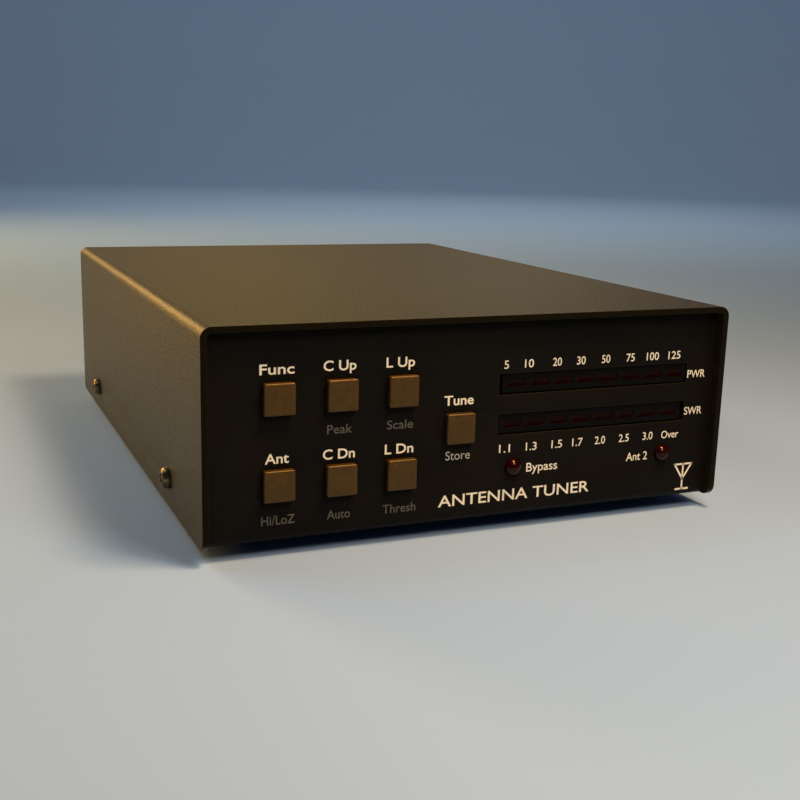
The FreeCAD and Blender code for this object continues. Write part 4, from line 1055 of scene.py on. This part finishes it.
def wing_nut():
    """A cast wing nut: a hub and two wings grown together, with soft edges and a clean bore."""
    node = "ground_wing_nut"
    low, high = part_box(node)
    at = middle(node)
    hub = 2.3 * MM
    hub_height = 4.6 * MM
    bore = 2.06 * MM
    grain = 0.16 * MM
    casting = in_scene("casting", to_mesh("casting", cad_shape(node)))
    plug = bmesh.new()
    lathe(plug, [(hub, low.y), (hub, low.y + hub_height)], at.x, at.z)
    combine(casting, to_mesh("plug", plug), "UNION")
    skin = casting.modifiers.new("skin", "REMESH")
    skin.mode = "VOXEL"
    skin.voxel_size = grain
    soften = casting.modifiers.new("soften", "SMOOTH")
    soften.factor = 0.5
    soften.iterations = 7
    settle(casting)
    drill = bmesh.new()
    lathe(drill, [(bore, low.y - MM), (bore, high.y + MM)], at.x, at.z)
    combine(casting, to_mesh("drill", drill), "DIFFERENCE")
    mesh = casting.data
    bpy.data.objects.remove(casting)
    for vert in mesh.vertices:
        for axis in range(3):
            vert.co[axis] = min(max(vert.co[axis], low[axis]), high[axis])
    piece = new_piece("wing_nut_casting", mesh, "ground_steel", "wing_nut")
    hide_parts(node)


# Everything else keeps its CAD shape and gets its finish. Some of it gets soft edges, in millimetres.

SOFT_EDGES = {
    "ground_washer": 0.12,
    "ground_hex_nut": 0.12,
    "radio_jack": 0.2,
    "radio_jack_nut": 0.15,
    "dc_jack": 0.2,
    "socket_nuts": 0.1,
    "switch_bodies": 0.2,
    "main_board": 0.15,
    "display_board": 0.15,
    "display_lead": 0.15,
}


def dress_nodes():
    """The finish of every CAD node that still shows, and rounded edges where the light would catch them."""
    for node, piece in NODES.items():
        piece.data.materials.clear()
        piece.data.materials.append(FINISHES[SLOT_OF[node]])
        if node in SOFT_EDGES and not piece.hide_render:
            refined(node, SOFT_EDGES[node] * MM)


# The stage

def floor():
    """A pale floor that curves up into a backdrop all round."""
    flat = 2.2
    bend = 0.9
    wall_top = 3.0
    count = 96
    outline = [(0.02, 0.0), (0.6, 0.0), (1.4, 0.0), (flat, 0.0)]
    outline += [(flat + bend * math.sin(math.radians(angle)), bend * (1 - math.cos(math.radians(angle))))
                for angle in (15, 30, 45, 60, 75, 90)]
    outline += [(flat + bend, wall_top)]
    shape = bmesh.new()
    rows = []
    for radius, height in outline:
        angles = [math.tau * index / count for index in range(count)]
        rows.append([shape.verts.new((radius * math.cos(angle), radius * math.sin(angle), height))
                     for angle in angles])
    shape.faces.new(rows[0])
    for near, far in zip(rows, rows[1:]):
        for index in range(count):
            after = (index + 1) % count
            shape.faces.new((near[index], near[after], far[after], far[index]))
    mesh = bpy.data.meshes.new("floor")
    shape.to_mesh(mesh)
    shape.free()
    mesh.polygons.foreach_set("use_smooth", [True] * len(mesh.polygons))
    made = Finish("floor", (0.34, 0.5, 0.86), 0.85, specular=0.2)
    made.paint(made.noise(0.4), (0.33, 0.49, 0.85), 0.5)
    mesh.materials.append(made.done())
    in_scene("floor", mesh)


def lamp_light(name, at, aim, side, power, color):
    """A square soft light at a place, aimed at a point."""
    light = bpy.data.lights.new(name, "AREA")
    light.shape = "SQUARE"
    light.size = side
    light.energy = power
    light.color = color
    holder = in_scene(name, light)
    holder.location = at
    holder.rotation_mode = "QUATERNION"
    holder.rotation_quaternion = (Vector(aim) - Vector(at)).to_track_quat("-Z", "Y")


def lights():
    """Warm lamps overhead, in front, behind and on the left, a cool one close by on the left, one for
    the backdrop, and a faint warm surrounding."""
    world = bpy.data.worlds.new("surrounding")
    world.use_nodes = True
    background = world.node_tree.nodes["Background"]
    background.inputs["Color"].default_value = (1.0, 0.86, 0.66, 1)
    background.inputs["Strength"].default_value = 0.07
    bpy.context.scene.world = world
    tuner = (-0.03, -0.06, 0.04)
    lamp_light("overhead", (0.085, -0.21, 0.42), tuner, 0.12, 2.1, (1.0, 0.6, 0.27))
    lamp_light("front", (0.05, -0.3, 0.25), tuner, 0.1, 0.4, (1.0, 0.84, 0.55))
    lamp_light("far_left", (-0.5, 0.9, 0.5), tuner, 0.3, 6.2, (1.0, 0.6, 0.2))
    lamp_light("low_left", (-0.35, 0.25, 0.12), tuner, 0.1, 0.5, (1.0, 0.55, 0.12))
    lamp_light("near_left", (-0.22, 0.0, 0.3), tuner, 0.1, 0.14, (0.5, 0.9, 1.0))
    lamp_light("behind", (0.2, 0.9, 0.6), tuner, 0.3, 0.6, (1.0, 0.72, 0.16))
    lamp_light("behind_right", (0.3, 0.4, 0.3), tuner, 0.15, 0.08, (1.0, 0.86, 0.46))
    lamp_light("backdrop", (0.5, 0.8, 1.2), (0.8, 2.2, 0.3), 0.5, 11.2, (1.0, 0.92, 0.66))


def camera():
    """In front, to the left and a little above, level with a person leaning over the desk."""
    lens = bpy.data.cameras.new("camera")
    lens.sensor_width = 36.0
    lens.lens = 51.46
    lens.clip_start = 0.02
    at = Matrix.Translation((-134.4 * MM, -363.96 * MM, 101.64 * MM))
    bearing = Matrix.Rotation(math.radians(-23.18), 4, "Z")
    downward = Matrix.Rotation(math.pi / 2 - math.radians(12.69), 4, "X")
    lean = Matrix.Rotation(math.radians(1.47), 4, "Z")
    holder = in_scene("camera", lens)
    holder.matrix_world = at @ bearing @ downward @ lean
    bpy.context.scene.camera = holder


camera()
case_shells()
side_screws()
feet()
for key in KEYS:
    key_cap(key)
bar_display("power")
bar_display("swr")
lamp("bypass_led")
lamp("antenna_led")
panel_words()
scale_numbers()
aerial_mark()
for socket in SOCKETS:
    coaxial_socket(socket)
socket_screws()
ground_terminal()
wing_nut()
dress_nodes()
floor()
lights()
bpy.context.scene.view_settings.view_transform = "Standard"
